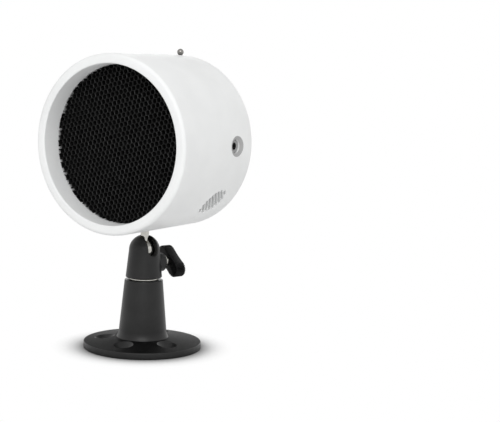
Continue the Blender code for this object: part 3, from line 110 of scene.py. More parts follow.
UPRIGHT = Matrix()
ALONG = placed((0, 0, AXIS), (-1, 0, 0), (0, 1, 0))
PANEL = Matrix.Translation((0, PANEL_FACE, 0)) @ ALONG
SLOT_SIDE = Vector((math.cos(CLAMP_TURN), math.sin(CLAMP_TURN), 0))
KNOB_SIDE = Vector((-math.sin(CLAMP_TURN), math.cos(CLAMP_TURN), 0))
KNOB_AXIS = placed((0, 0, KNOB_HEIGHT), -SLOT_SIDE, KNOB_SIDE)


def sideways(turn):
    """A direction across the housing's axis: 0 to the right, 90 degrees up."""
    return Vector((math.cos(turn), 0, math.sin(turn)))


def outward(turn, along):
    """Local Z points out of the housing's side from its axis, local X runs along the housing."""
    return placed((0, along, AXIS), (0, 1, 0), sideways(turn))


# ---------------------------------------------------------------- materials
def links(material):
    """The node tree of a fresh material with its shader and object coordinates."""
    material.use_nodes = True
    tree = material.node_tree
    shader = tree.nodes["Principled BSDF"]
    place = tree.nodes.new("ShaderNodeTexCoord").outputs["Object"]
    return tree, shader, place


def noise(tree, place, scale, detail, stretch=None):
    """A noise texture's value, its features 1/scale metres across."""
    if stretch:
        mapping = tree.nodes.new("ShaderNodeMapping")
        mapping.inputs["Scale"].default_value = stretch
        tree.links.new(place, mapping.inputs["Vector"])
        place = mapping.outputs["Vector"]
    texture = tree.nodes.new("ShaderNodeTexNoise")
    texture.inputs["Scale"].default_value = scale
    texture.inputs["Detail"].default_value = detail
    tree.links.new(place, texture.inputs["Vector"])
    return texture.outputs["Fac"]


def ramp(tree, value, stops):
    """A colour ramp over a value; each stop is a position and a colour."""
    node = tree.nodes.new("ShaderNodeValToRGB")
    elements = node.color_ramp.elements
    while len(elements) < len(stops):
        elements.new(0.5)
    for element, (position, colour) in zip(elements, stops):
        element.position = position
        element.color = (*colour, 1.0)
    tree.links.new(value, node.inputs["Fac"])
    return node.outputs["Color"]


def spread(tree, value, low, high):
    """Maps a noise value onto a range."""
    node = tree.nodes.new("ShaderNodeMapRange")
    for key, number in (("From Min", 0.3), ("From Max", 0.7), ("To Min", low), ("To Max", high)):
        node.inputs[key].default_value = number
    tree.links.new(value, node.inputs["Value"])
    return node.outputs["Result"]


def bumped(tree, shader, height, distance):
    """Feeds a height into the shader's normal, on top of any bump there already."""
    node = tree.nodes.new("ShaderNodeBump")
    node.inputs["Strength"].default_value = 1.0
    node.inputs["Distance"].default_value = distance
    tree.links.new(height, node.inputs["Height"])
    if shader.inputs["Normal"].is_linked:
        tree.links.new(shader.inputs["Normal"].links[0].from_socket, node.inputs["Normal"])
    tree.links.new(node.outputs["Normal"], shader.inputs["Normal"])


def finish(name, dark, light, rough, *, patch, grain, depth, metallic=0.0, specular=0.5,
           stretch=None, coat=0.0):
    """A surface with slow colour and gloss changes and a fine grain, all from object space."""
    material = bpy.data.materials.new(name)
    tree, shader, place = links(material)
    slow = noise(tree, place, patch, 4.0)
    fine = noise(tree, place, grain, 2.0, stretch)
    tree.links.new(ramp(tree, slow, ((0.35, dark), (0.65, light))), shader.inputs["Base Color"])
    tree.links.new(spread(tree, fine, *rough), shader.inputs["Roughness"])
    bumped(tree, shader, fine, depth)
    shader.inputs["Metallic"].default_value = metallic
    shader.inputs["Specular IOR Level"].default_value = specular
    shader.inputs["Coat Weight"].default_value = coat
    material.diffuse_color = (*light, 1.0)
    return material


def plain(name):
    """A name without the number that Blender adds to a repeated one."""
    return name.split(".")[0]


def grey(value, warm=0.0):
    """A nearly neutral colour."""
    return (value * (1 + warm), value, value * (1 - warm))


shell_white = finish("shell_white", (0.800, 0.808, 0.806), (0.845, 0.852, 0.850), (0.38, 0.50),
                     patch=28, grain=1100, depth=0.000010, specular=0.35)
core_black = finish("core_black", grey(0.004), grey(0.007), (0.42, 0.62), patch=420, grain=5200,
                    depth=0.00001, specular=0.25)
# Painted light on the black honeycomb: a lighter painted sheen for cell walls facing the light, and
# brighter painted glints for the front edges of some walls.
core_painted_sheen = finish("core_painted_sheen", grey(0.007), grey(0.015), (0.36, 0.50), patch=300, grain=5200,
                    depth=0.00001, specular=0.30)
core_painted_glint = finish("core_painted_glint", grey(0.022), grey(0.100), (0.36, 0.50), patch=330, grain=5200,
                    depth=0.00001, specular=0.30)
core_painted_ribbon_glint = finish("core_painted_ribbon_glint", grey(0.006), grey(0.020), (0.36, 0.50), patch=330, grain=5200,
                   depth=0.00001, specular=0.30)
stand_black = finish("stand_black", grey(0.009), grey(0.013), (0.34, 0.46), patch=90, grain=2600,
                     depth=0.000016, specular=0.30)
# Painted shade: the flange's upward faces, darker and with less specular than the rest of the cast
# stand.
flange_painted_shade = finish("flange_painted_shade", grey(0.003), grey(0.005), (0.50, 0.66), patch=90, grain=2600,
                      depth=0.000022, specular=0.04)
knob_black = finish("knob_black", grey(0.003), grey(0.006), (0.34, 0.46), patch=150, grain=3600,
                    depth=0.00001, specular=0.12)
# Painted shade: a mid grey for the inlet dish's faces, darker than the white shell around it.
recess_painted_shade = finish("recess_painted_shade", grey(0.36), grey(0.40), (0.40, 0.52), patch=28, grain=1100,
                     depth=0.00001, specular=0.3)
chrome = finish("chrome", (0.44, 0.43, 0.40), (0.56, 0.55, 0.515), (0.08, 0.16), patch=420,
                grain=2600, depth=0.000002, metallic=1.0)
# Painted reflection: a darkened chrome for the ball pin, standing in for dark surroundings reflected in
# it.
chrome_painted_dark_reflection = finish("chrome_painted_dark_reflection", (0.20, 0.195, 0.185), (0.30, 0.29, 0.275), (0.12, 0.22),
                     patch=420, grain=2600, depth=0.000002, metallic=1.0)
dark_steel = finish("dark_steel", grey(0.045), grey(0.070), (0.30, 0.42), patch=400, grain=3600,
                    depth=0.000004, specular=0.4)
bezel_grey = finish("bezel_grey", grey(0.28), grey(0.33), (0.45, 0.60), patch=300, grain=3600,
                    depth=0.000006, specular=0.3)
steel = finish("steel", (0.56, 0.55, 0.51), (0.68, 0.67, 0.62), (0.22, 0.36), patch=260,
               grain=2600, depth=0.000004, metallic=1.0)
aluminium = finish("aluminium", grey(0.60), grey(0.70), (0.30, 0.46), patch=160, grain=1800,
                   depth=0.000006, metallic=1.0, stretch=(1, 1, 12))
brass = finish("brass", (0.60, 0.44, 0.18), (0.74, 0.58, 0.28), (0.22, 0.36), patch=300,
               grain=2600, depth=0.000004, metallic=1.0)
gold = finish("gold", (0.80, 0.55, 0.18), (0.90, 0.68, 0.28), (0.18, 0.30), patch=500,
              grain=3200, depth=0.000002, metallic=1.0)
panel_grey = finish("panel_grey", grey(0.060), grey(0.072), (0.42, 0.56), patch=60, grain=5200,
                    depth=0.000008, specular=0.25)
plate_silver = finish("plate_silver", (0.74, 0.745, 0.735), (0.80, 0.805, 0.79), (0.34, 0.46),
                      patch=110, grain=1500, depth=0.000006, specular=0.3, stretch=(14, 1, 1))
sticker_white = finish("sticker_white", grey(0.80), grey(0.86), (0.50, 0.66), patch=180, grain=4200,
                       depth=0.000008, specular=0.25)
button_dark = finish("button_dark", grey(0.066, 0.02), grey(0.080, 0.02), (0.52, 0.66), patch=200,
                     grain=4600, depth=0.000012, specular=0.3)
ink_black = finish("ink_black", grey(0.016), grey(0.028), (0.45, 0.60), patch=600, grain=6000,
                   depth=0.000003, specular=0.3)
ink_white = finish("ink_white", grey(0.74), grey(0.84), (0.45, 0.60), patch=600, grain=6000,
                   depth=0.000003, specular=0.3)
window_violet = finish("window_violet", (0.070, 0.052, 0.092), (0.095, 0.072, 0.120), (0.06, 0.12),
                       patch=90, grain=900, depth=0.000001, specular=0.5, coat=0.3)
board_green = finish("board_green", (0.010, 0.085, 0.035), (0.020, 0.125, 0.055), (0.30, 0.42),
                     patch=220, grain=1700, depth=0.00002)
insulator_black = finish("insulator_black", grey(0.010), grey(0.016), (0.38, 0.52), patch=260,
                         grain=3600, depth=0.000008, specular=0.4)
nylon = finish("nylon", (0.66, 0.65, 0.60), (0.74, 0.73, 0.69), (0.40, 0.52), patch=150, grain=2200,
               depth=0.00001)
foam = finish("foam", (0.52, 0.50, 0.42), (0.66, 0.64, 0.56), (0.80, 0.95), patch=260, grain=900,
              depth=0.0002, specular=0.2)
heater_orange = finish("heater_orange", (0.55, 0.16, 0.03), (0.68, 0.24, 0.06), (0.34, 0.46),
                       patch=120, grain=600, depth=0.00004)

# The finishes of the CAD nodes that stay, by the names of the record's material slots.
SLOT_FINISHES = {plain(material.name): material for material in (
    shell_white, core_black, stand_black, knob_black, chrome, steel, aluminium, brass, gold,
    panel_grey, plate_silver, sticker_white, button_dark, window_violet, board_green,
    insulator_black, nylon, foam, heater_orange)}


# ---------------------------------------------------------------- outlines
def circle(radius, sides, centre=(0.0, 0.0)):
    """A ring of points, anticlockwise."""
    return [(centre[0] + radius * math.cos(2 * math.pi * i / sides),
             centre[1] + radius * math.sin(2 * math.pi * i / sides)) for i in range(sides)]


def hexagon(flats, centre=(0.0, 0.0), start=0.0):
    """A hexagon by its width across flats."""
    radius = flats / math.sqrt(3)
    return [(centre[0] + radius * math.cos(start + math.pi * i / 3),
             centre[1] + radius * math.sin(start + math.pi * i / 3)) for i in range(6)]


def arc(centre, radius, start, end, steps):
    """Points on a circle from one angle in degrees to another, both ends included."""
    points = []
    for step in range(steps + 1):
        angle = math.radians(start + (end - start) * step / steps)
        points.append((centre[0] + radius * math.cos(angle), centre[1] + radius * math.sin(angle)))
    return points


def rounded_box(size, corner, centre=(0.0, 0.0), steps=10):
    """A rectangle with round corners."""
    points = []
    for number, (sx, sy) in enumerate(((1, 1), (-1, 1), (-1, -1), (1, -1))):
        middle = (centre[0] + sx * (size[0] / 2 - corner), centre[1] + sy * (size[1] / 2 - corner))
        points += arc(middle, corner, 90 * number, 90 * (number + 1), steps)
    return points


def d_outline(size, corner, centre, steps=8):
    """The D shape of a serial connector, wider at the top."""
    half_width, half_height = size[0] / 2, size[1] / 2
    lean = size[1] * math.tan(math.radians(10.0))
    corners = [Vector(point) for point in ((half_width, half_height), (-half_width, half_height),
                                           (-half_width + lean, -half_height),
                                           (half_width - lean, -half_height))]
    points = []
    for number, tip in enumerate(corners):
        start = tip + (corners[number - 1] - tip).normalized() * corner
        end = tip + (corners[(number + 1) % 4] - tip).normalized() * corner
        for step in range(steps + 1):
            share = step / steps
            bend = (1 - share) ** 2 * start + 2 * share * (1 - share) * tip + share ** 2 * end
            points.append((centre[0] + bend.x, centre[1] + bend.y))
    return points


def grown(size, extra):
    """A width and height made larger by the same amount."""
    return (size[0] + extra, size[1] + extra)


# ---------------------------------------------------------------- making pieces
def solid(name, shape, placement):
    """Turns a bmesh into an object whose mesh is already in the row frame."""
    bmesh.ops.recalc_face_normals(shape, faces=shape.faces)
    bmesh.ops.transform(shape, matrix=placement, verts=shape.verts)
    mesh = bpy.data.meshes.new(name)
    shape.to_mesh(mesh)
    shape.free()
    piece = bpy.data.objects.new(name, mesh)
    bpy.context.scene.collection.objects.link(piece)
    return piece


def loft(name, rings, placement):
    """Joins rings of equal length, each a list of 3-D points, into one closed solid."""
    shape = bmesh.new()
    loops = [[shape.verts.new(point) for point in ring] for ring in rings]
    count = len(loops[0])
    for lower, upper in zip(loops, loops[1:]):
        for side in range(count):
            after = (side + 1) % count
            shape.faces.new((lower[side], lower[after], upper[after], upper[side]))
    shape.faces.new(loops[0])
    shape.faces.new(loops[-1])
    return solid(name, shape, placement)


def block(name, levels, placement):
    """A loft of flat outlines, each with its height."""
    rings = [[(x, y, height) for x, y in outline] for outline, height in levels]
    return loft(name, rings, placement)


def prism(outline, low, high, placement):
    """One flat outline drawn up between two heights, to cut with or to join."""
    return block("prism", ((outline, low), (outline, high)), placement)


def turned(name, profile, sides, placement=UPRIGHT):
    """Revolves (radius, height) points about local Z. Ends at radius 0 close the shape."""
    shape = bmesh.new()
    is_ring = profile[0][0] > 0
    rings = []
    for radius, height in profile:
        if radius == 0:
            rings.append([shape.verts.new((0, 0, height))] * sides)
        else:
            rings.append([shape.verts.new((x, y, height)) for x, y in circle(radius, sides)])
    for index in range(len(rings) if is_ring else len(rings) - 1):
        lower, upper = rings[index], rings[(index + 1) % len(rings)]
        for side in range(sides):
            after = (side + 1) % sides
            corners = []
            for corner in (lower[side], lower[after], upper[after], upper[side]):
                if corner not in corners:
                    corners.append(corner)
            shape.faces.new(corners)
    return solid(name, shape, placement)


def rod(radius, low, high, sides=SMALL, placement=UPRIGHT):
    """A plain cylinder, to cut with or to join."""
    return turned("rod", [(0, low), (radius, low), (radius, high), (0, high)], sides, placement)


def bake(piece):
    """Applies a piece's modifiers to its mesh."""
    evaluated = piece.evaluated_get(bpy.context.evaluated_depsgraph_get())
    mesh = bpy.data.meshes.new_from_object(evaluated)
    piece.modifiers.clear()
    piece.data = mesh
    return piece


def combined(piece, others, operation="DIFFERENCE"):
    """Cuts other shapes out of a piece, or joins them to it, and removes them."""
    for other in others:
        step = piece.modifiers.new("combine", "BOOLEAN")
        step.operation = operation
        step.solver = "EXACT"
        step.object = other
    bpy.context.view_layer.update()
    bake(piece)
    for other in others:
        bpy.data.objects.remove(other, do_unlink=True)
    return piece


def dressed(piece, material, body, *nodes, angle=32, slot=None):
    """Finishes a piece: shading, material, the body it rides on and the CAD nodes it stands for."""
    piece.data.materials.clear()
    piece.data.materials.append(material)
    piece.data.shade_smooth()
    piece.data.set_sharp_from_angle(angle=math.radians(angle))
    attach(piece, body)
    if nodes:
        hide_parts(*nodes)
    slot or plain(material.name)
    return piece


def keep_round(piece, centre, axis, radius, near=0.00002, share=0.9995):
    """Gives the faces on a cylinder the exact normals of that cylinder, also between cuts."""
    mesh = piece.data
    axis = Vector(axis).normalized()
    normals = [Vector(corner.vector) for corner in mesh.corner_normals]
    for face in mesh.polygons:
        for loop in face.loop_indices:
            offset = mesh.vertices[mesh.loops[loop].vertex_index].co - Vector(centre)
            radial = offset - axis * offset.dot(axis)
            is_on = abs(radial.length - radius) < near
            if is_on and abs(radial.normalized().dot(face.normal)) > share:
                normals[loop] = radial.normalized()
    mesh.normals_split_custom_set(normals)


# ---------------------------------------------------------------- head: housing
def make_housing():
    """White shell with its lip, vent slots, inlet dish and small holes."""
    fillet, rear_fillet, lip_edge = 0.0025, 0.0020, 0.0009
    profile = [
        *arc((LIP_RADIUS + lip_edge, FRONT + lip_edge), lip_edge, 180, 270, 4),
        *arc((RADIUS - fillet, FRONT + fillet), fillet, -90, 0, 8),
        *arc((RADIUS - rear_fillet, REAR - rear_fillet), rear_fillet, 0, 90, 7),
        (BORE + GAP, REAR),
        (BORE, REAR - GAP),
        (BORE, LIP_END),
        (LIP_RADIUS, LIP_END),
    ]
    shell = turned("housing", profile, FINE, ALONG)
    below, above, stud_hole = 0.004, 0.008, 0.0055
    dish_radius, cutters = inlet_cutters()
    cutters = vent_cutters() + cutters
    for turn, along, radius in ((TOP_PIN_TURN, TOP_PIN_Y, 0.0015), (PLUG_TURN, PLUG_Y, 0.0018)):
        cutters.append(turned("hole", [(0, RADIUS - 0.0033), (radius, RADIUS - 0.0033),
                                       (radius, RADIUS - 0.0002), (radius + 0.0006, RADIUS + 0.0004),
                                       (0, RADIUS + 0.0004)], SMALL, outward(turn, along)))
    cutters.append(rod(stud_hole, HOUSING_BOTTOM - below, HOUSING_BOTTOM + above))
    combined(shell, cutters)
    dressed(shell, shell_white, "head", "housing_shell")
    # The inlet dish's faces get painted shade, a darker grey than the white shell.
    shell.data.materials.append(recess_painted_shade)
    for face in shell.data.polygons:
        corners = [shell.data.vertices[index].co for index in face.vertices]
        if all(BORE < co.x and math.hypot(co.y - JACK_Y, co.z - AXIS) < dish_radius for co in corners):
            face.material_index = 1
    keep_round(shell, (0, 0, AXIS), (0, 1, 0), RADIUS)


def vent_cutters():
    """Nine slanted slots in a round patch, narrow inside and flared to the surface."""
    pitch, patch, half_length, edge = 0.0026, 0.0116, 0.0092, 0.0007
    throat, mouth = 0.0010, 0.0022
    slanted = outward(VENT_TURN, VENT_Y) @ Matrix.Rotation(VENT_SLANT, 4, "Z")
    cutters = []
    for number in range(-4, 5):
        along = number * pitch
        half = half_length * math.sqrt(1 - ((abs(along) + edge) / patch) ** 2)
        outline = rounded_box((throat, 2 * half - 0.0004), 0.00045, (along, 0), 5)
        flare = rounded_box((mouth, 2 * half + 0.0008), 0.00105, (along, 0), 5)
        cutters.append(block("slot", ((outline, BORE - 0.004), (outline, BORE + 0.0004),
                                      (flare, RADIUS + 0.0001)), slanted))
    return cutters


def inlet_cutters():
    """The inlet's shallow dish and its bore, with a radius that takes in the whole dish."""
    wide, deep, bore = 0.0076, 0.0021, 0.0046
    inlet = outward(0.0, JACK_Y)
    bowl = (wide ** 2 + deep ** 2) / (2 * deep)
    end = -90 + 1.25 * math.degrees(math.asin(wide / bowl))
    dish = arc((0, RADIUS - deep + bowl), bowl, -90, end, 14)
    dish[0] = (0, dish[0][1])
    return wide + 0.0002, [turned("dish", [*dish, (0, dish[-1][1])], MEDIUM, inlet),
                           rod(bore, BORE - 0.004, RADIUS + 0.002, MEDIUM, inlet)]


def make_plug():
    """Small blanking plug, sunk into the far side."""
    plug = turned("blanking_plug", [(0, RADIUS - 0.0020), (0.0015, RADIUS - 0.0020),
                                    (0.0015, RADIUS - 0.0006), (0.0013, RADIUS - 0.0004),
                                    (0, RADIUS - 0.0004)], SMALL, outward(PLUG_TURN, PLUG_Y))
    dressed(plug, shell_white, "head", "side_plug")


def make_honeycomb():
    """Black honeycomb at its real cell size, its border cells cut ragged by the housing's bore."""
    pitch, wall, overlap = 0.0034, 0.00024, 0.15
    border, ragged = 0.0005, 0.00012
    limit = LIP_RADIUS - GAP
    chance = random.Random(7)
    shape = bmesh.new()
    rows = int(limit / pitch) + 3
    for row in range(-rows, rows + 1):
        for column in range(-rows, rows + 1):
            centre = (pitch * row * math.sqrt(3) / 2, pitch * (column + (row % 2) / 2))
            if math.hypot(*centre) > limit + overlap * pitch:
                continue
            frames = []
            for flats in (pitch, pitch - wall):
                corners = []
                for x, y in hexagon(flats, centre):
                    reach = math.hypot(x, y)
                    if reach > limit:
                        x, y = x * limit / reach, y * limit / reach
                    corners.append(shape.verts.new((x, y, CORE_FRONT)))
                frames.append(corners)
            outer, inner = frames
            for side in range(6):
                after = (side + 1) % 6
                shape.faces.new((outer[side], outer[after], inner[after], inner[side]))
    bmesh.ops.remove_doubles(shape, verts=shape.verts, dist=0.00002)
    bmesh.ops.dissolve_degenerate(shape, edges=shape.edges, dist=0.00001)
    for corner in shape.verts:
        if math.hypot(corner.co.x, corner.co.y) > limit - border:
            corner.co.z += chance.uniform(-ragged, ragged)
    extruded = bmesh.ops.extrude_face_region(shape, geom=list(shape.faces))
    for item in extruded["geom"]:
        if isinstance(item, bmesh.types.BMVert):
            item.co.z = CORE_BACK
    core = solid("honeycomb", shape, ALONG @ Matrix.Rotation(math.radians(14.0), 4, "Z"))
    dressed(core, core_black, "head", "honeycomb_core", angle=25)
    # Painted light: cell walls facing the light get a painted sheen, and some front edges get painted
    # glints.
    for material in (core_painted_sheen, core_painted_glint, core_painted_ribbon_glint):
        core.data.materials.append(material)
    for face in core.data.polygons:
        face.material_index = core_finish(core.data, face)


def core_finish(mesh, face):
    """A face's finish by its direction: 0 black, 1 painted sheen on cell walls facing the light, 2 and 3
    painted glints on front edges.
    """
    facing_light = sideways(math.radians(16.0))
    ribbon = sideways(math.radians(46.0))
    # Indexes 1 to 3 are painted light on the same black honeycomb.
    if abs(face.normal.y) < 0.5:
        return 1 if face.normal.dot(facing_light) > 0.9 else 0
    corners = [mesh.vertices[index].co for index in face.vertices]
    sides = [end - start for start, end in zip(corners, corners[1:] + corners[:1])]
    along = max(sides, key=lambda side: side.length).normalized()
    if abs(along.dot(facing_light)) < 0.3:
        return 2
    return 3 if abs(along.dot(ribbon)) > 0.95 else 0


# ---------------------------------------------------------------- head: inlet and pin
def make_inlet():
    """Jack in the dish, and the polished ball pin on top."""
    inlet = outward(0.0, JACK_Y)
    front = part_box("jack_body")[1].x
    outer, inner = 0.0043, 0.0024
    jack = turned("power_jack", [(0, front - 0.0100), (outer, front - 0.0100), (outer, front - 0.0002),
                                 (0.0041, front), (0.0027, front), (inner, front - 0.0003),
                                 (inner, front - 0.0085), (0, front - 0.0085)], MEDIUM, inlet)
    dressed(jack, insulator_black, "head", "jack_body")
    jack.data.materials.append(bezel_grey)
    for face in jack.data.polygons:
        if face.center.x > front - 0.00025:
            face.material_index = 1
    contact = 0.00105
    tip = arc((0.00065, front - 0.0033), 0.0004, 0, 90, 4)
    pin = turned("jack_contact", [(0, front - 0.0082), (contact, front - 0.0082),
                                  (contact, front - 0.0033), *tip, (0, front - 0.0029)], SMALL, inlet)
    dressed(pin, steel, "head", "jack_pin")
    size, neck = 0.0023, 0.0012
    centre = RADIUS + 0.0020
    ball = arc((0, centre), size, -math.degrees(math.acos(neck / size)), 90, 18)
    ball[-1] = (0, centre + size)
    pin = turned("ball_pin", [(0, RADIUS - 0.0030), (neck, RADIUS - 0.0030), *ball], SMALL,
                 outward(TOP_PIN_TURN, TOP_PIN_Y))
    # The ball pin's chrome is darkened as a painted dark reflection.
    dressed(pin, chrome_painted_dark_reflection, "head", "top_ball_pin", slot="chrome")


# ---------------------------------------------------------------- stand
def make_base():
    """Cast flange and post with four countersunk holes."""
    pocket, seat, bore = 0.0075, 0.036, 0.0032
    crown, rim, radius, edge = 0.0074, 0.0045, 0.0395, 0.0006
    post_low, post_high, post_top = 0.0159, 0.01285, 0.0464
    hole_circle, hole_radius, hole_angles = 0.0265, 0.0026, (208.0, 276.0, 344.0, 96.0)
    steps = 12
    flare = [(post_low + 0.0015 * (1 - step / steps) ** 2.4, crown + 0.0056 * step / steps)
             for step in range(steps + 1)]
    profile = [
        (pocket, 0), (radius - edge, 0),
        *arc((radius - edge, edge), edge, -90, 0, 3),
        *arc((radius - edge, rim - edge), edge, 0, 90, 4),
        *flare,
        *arc((post_high - edge, post_top - edge), edge, 0, 90, 4),
        (bore, post_top), (bore, seat), (pocket, seat),
    ]
    base = turned("cast_stand", profile, 2 * MEDIUM)
    slope = (crown - rim) / (radius - edge - 0.0182)
    surface = rim + (radius - edge - hole_circle) * slope
    countersink = [(0, -0.002), (hole_radius, -0.002), (hole_radius, surface - 0.0040),
                   (0.0096, surface + 0.0030), (0, surface + 0.0030)]
    cutters = []
    for angle in hole_angles:
        place = Matrix.Rotation(math.radians(angle), 4, "Z") @ Matrix.Translation((hole_circle, 0, 0))
        cutters.append(turned("countersink", countersink, MEDIUM, place))
    combined(base, cutters)
    dressed(base, stand_black, "stand", "base_post")
    # The flange's upward faces get painted shade, darker than the post.
    base.data.materials.append(flange_painted_shade)
    for face in base.data.polygons:
        if face.center.z < crown + 0.0004 and face.normal.z > 0.9:
            face.material_index = 1


def make_clamp():
    """Cast clamp: dome, stud slot and knob boss, with soft cast edges."""
    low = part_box("clamp_head")[0].z
    floor = low + 0.0018
    opening, skirt, screw_hole = 0.0037, 0.0122, 0.0023
    dome, cavity, seat, bore = 0.01035, 0.0073, 0.0058, 0.0032
    boss_radius, boss_face, edge = 0.0063, 0.0150, 0.0004
    profile = [
        (bore, low), (0.0118, low), (skirt, low + edge),
        *arc((0, BALL), dome, 0, math.degrees(math.acos(opening / dome)), 16),
        *arc((0, BALL), cavity, math.degrees(math.acos(opening / cavity)),
             -math.degrees(math.acos(seat / cavity)), 16),
        (seat, floor), (bore, floor),
    ]
    clamp = turned("cast_clamp", profile, MEDIUM)
    boss = turned("boss", [(0, 0.0068), (boss_radius, 0.0068), (boss_radius, 0.0146),
                           (0.0059, boss_face), (0, boss_face)], 64, KNOB_AXIS)
    combined(clamp, [boss], "UNION")
    above, through = 0.018, 0.0200
    slot = [(-opening, above), *arc((0, 0.0005), opening, -180, 0, 24), (opening, above)]
    along_slot = placed((0, 0, BALL), KNOB_SIDE, SLOT_SIDE)
    screw_way = rod(screw_hole, 0.0028, 0.0190, SMALL, KNOB_AXIS)
    combined(clamp, [prism(slot, 0.0, through, along_slot), screw_way])
    remesh = clamp.modifiers.new("cast", "REMESH")
    remesh.mode = "VOXEL"
    remesh.voxel_size = 0.00022
    smooth = clamp.modifiers.new("smooth", "SMOOTH")
    smooth.factor = 0.5
    smooth.iterations = 4
    bpy.context.view_layer.update()
    bake(clamp)
    dressed(clamp, stand_black, "clamp", "clamp_head", angle=70)


def make_swivel():
    """Bright ring between post and clamp."""
    low, high = (corner.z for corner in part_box("swivel_ring"))
    bore, radius, edge = 0.0032, 0.0100, 0.0002
    ring = turned("bright_ring", [(bore, low), (0.0098, low), (radius, low + edge),
                                  (radius, high - edge), (0.0098, high), (bore, high)], MEDIUM)
    dressed(ring, chrome, "stand", "swivel_ring", slot="steel")


def knob_outline(inset):
    """A waisted bar with round, ribbed ends."""
    end, length, ribs, per_rib, waist_steps = 0.0052, 0.0130, 12, 6, 12
    rib_depth, waist_depth = 0.0006, 0.0004
    radius, reach = end - inset, length - end
    points = []
    for side in (1, -1):
        for step in range(per_rib * ribs + 1):
            share = step / (per_rib * ribs)
            angle = math.pi * (share - 0.5)
            depth = rib_depth * (0.5 - 0.5 * math.cos(2 * math.pi * share * ribs)) ** 0.7
            points.append((side * (reach + (radius - depth) * math.cos(angle)),
                           side * (radius - depth) * math.sin(angle)))
        for step in range(1, waist_steps):
            share = step / waist_steps
            waist = radius - waist_depth * math.sin(math.pi * share)
            points.append((side * reach * (1 - 2 * share), side * waist))
    return points


def make_knob():
    """Ribbed wing knob on its bright screw."""
    face, back, turn = 0.0193, 0.0193 + 0.0080, math.radians(-90 - 52)
    levels = [(knob_outline(inset), height) for inset, height in (
        (0.0007, face), (0.0002, face + 0.0002), (0.0, face + 0.0008),
        (0.0, back - 0.0010), (0.0003, back - 0.0004), (0.0009, back))]
    knob = block("wing_knob", levels, KNOB_AXIS @ Matrix.Rotation(turn, 4, "Z"))
    dressed(knob, knob_black, "knob", "clamp_knob", angle=50)
    crest, root, collar, pitch, turns = 0.0020, 0.00175, 0.0029, 0.00045, 26
    shank = [(0, 0.0022), (0.0010, 0.0022), (crest, 0.0040)]
    for number in range(turns):
        start = 0.0042 + number * pitch
        shank += [(crest, start), (root, start + pitch / 2)]
    shank += [(crest, 0.0162), (collar, 0.0165), (collar, 0.0188), (crest, 0.0190), (crest, 0.0236),
              (0, 0.0236)]
    screw = turned("knob_screw", shank, SMALL, KNOB_AXIS)
    dressed(screw, steel, "knob", "clamp_screw")
    bore, rim, low, high = 0.0023, 0.0052, 0.0153, 0.0161
    washer = turned("washer", [(bore, low), (0.0050, low), (rim, 0.0155), (rim, 0.0159),
                               (0.0050, high), (bore, high)], SMALL, KNOB_AXIS)
    dressed(washer, steel, "knob_slide", "knob_washer")


def make_stud():
    """Chrome ball and stud, threaded where it enters the head."""
    neck = math.degrees(math.acos(STUD_NECK / BALL_RADIUS))
    ball = arc((0, BALL), BALL_RADIUS, -90, neck, 28)
    ball[0] = (0, BALL - BALL_RADIUS)
    low = HOUSING_BOTTOM - GAP
    crest, root, pitch, turns = 0.0030, 0.0027, 0.0006, 14
    profile = [*ball, (STUD_NECK, low - 0.0008)]
    for number in range(turns):
        start = low - 0.0004 + number * pitch
        profile += [(crest if number else STUD_NECK, start), (root, start + pitch / 2)]
    profile += [(root, low + 0.0079), (0, low + 0.0079)]
    stud = turned("chrome_stud", profile, MEDIUM)
    dressed(stud, chrome, "ball", "ball_stud")


# ---------------------------------------------------------------- head: rear panel
def plate(name, outline_of, low, high, edge):
    """A flat plate with small rounded edges on its face. outline_of(inset) gives its outline."""
    return block(name, ((outline_of(0.0), low), (outline_of(0.0), high - edge),
                        (outline_of(edge * 0.3), high - edge * 0.3), (outline_of(edge), high)), PANEL)


def well(outline_of, floor, edge=0.00015):
    """A cutter for a pocket with a lightly broken edge. outline_of(inset) gives its outline."""
    return block("well", ((outline_of(0.0), floor), (outline_of(0.0), -edge), (outline_of(-edge), 0.0),
                          (outline_of(-2 * edge), edge)), PANEL)


def hole(radius, spot, floor):
    """A cutter for a round hole in the panel."""
    return well(lambda inset: circle(radius - inset, SMALL, spot), floor)


def on_panel(spot):
    """A placement on the panel's face at a spot."""
    return PANEL @ Matrix.Translation((*spot, 0))


def boxed(size, corner, centre, extra=0.0):
    """An outline function for a rounded rectangle, grown by extra and shrunk by its inset."""
    def outline(inset):
        grow = extra - inset
        return rounded_box(grown(size, 2 * grow), max(corner + grow, 0.0001), centre)
    return outline


def make_panel():
    """Dark panel with every pocket and opening."""
    radius, edge = BORE - GAP, 0.0003
    profile = [(0, -PANEL_THICKNESS), (radius, -PANEL_THICKNESS), (radius, -edge), (radius - edge, 0),
               (0, 0)]
    panel = turned("panel", profile, FINE, PANEL)
    deep, plate_floor, recess_floor, screw_floor = -2 * PANEL_THICKNESS, -0.0013, -0.0025, -0.0019
    screw_head, screw_shank = 0.0020, 0.0014
    serial_recess = ((0.0328, 0.0143), 0.0012)
    def serial_opening(inset):
        return d_outline(grown(SERIAL_SHELL, 2 * (GAP - inset)), SERIAL_CORNER, SERIAL)
    wells = [well(boxed(*WINDOW), deep), well(boxed(*LABEL, GAP), plate_floor),
             well(boxed(*KEYPAD, GAP), plate_floor), well(boxed(*USB_SHELL, USB, GAP), deep),
             well(boxed(*serial_recess, SERIAL), recess_floor), well(serial_opening, deep)]
    wells += [well(boxed(*BUTTON, centre, GAP), deep) for centre in BUTTONS.values()]
    wells += [hole(JACKSCREW_HOLE, spot, deep) for spot in JACKSCREWS]
    for spot in SCREWS:
        wells += [hole(screw_head, spot, screw_floor), hole(screw_shank, spot, deep)]
    combined(panel, wells)
    dressed(panel, panel_grey, "head", "rear_panel", angle=20)


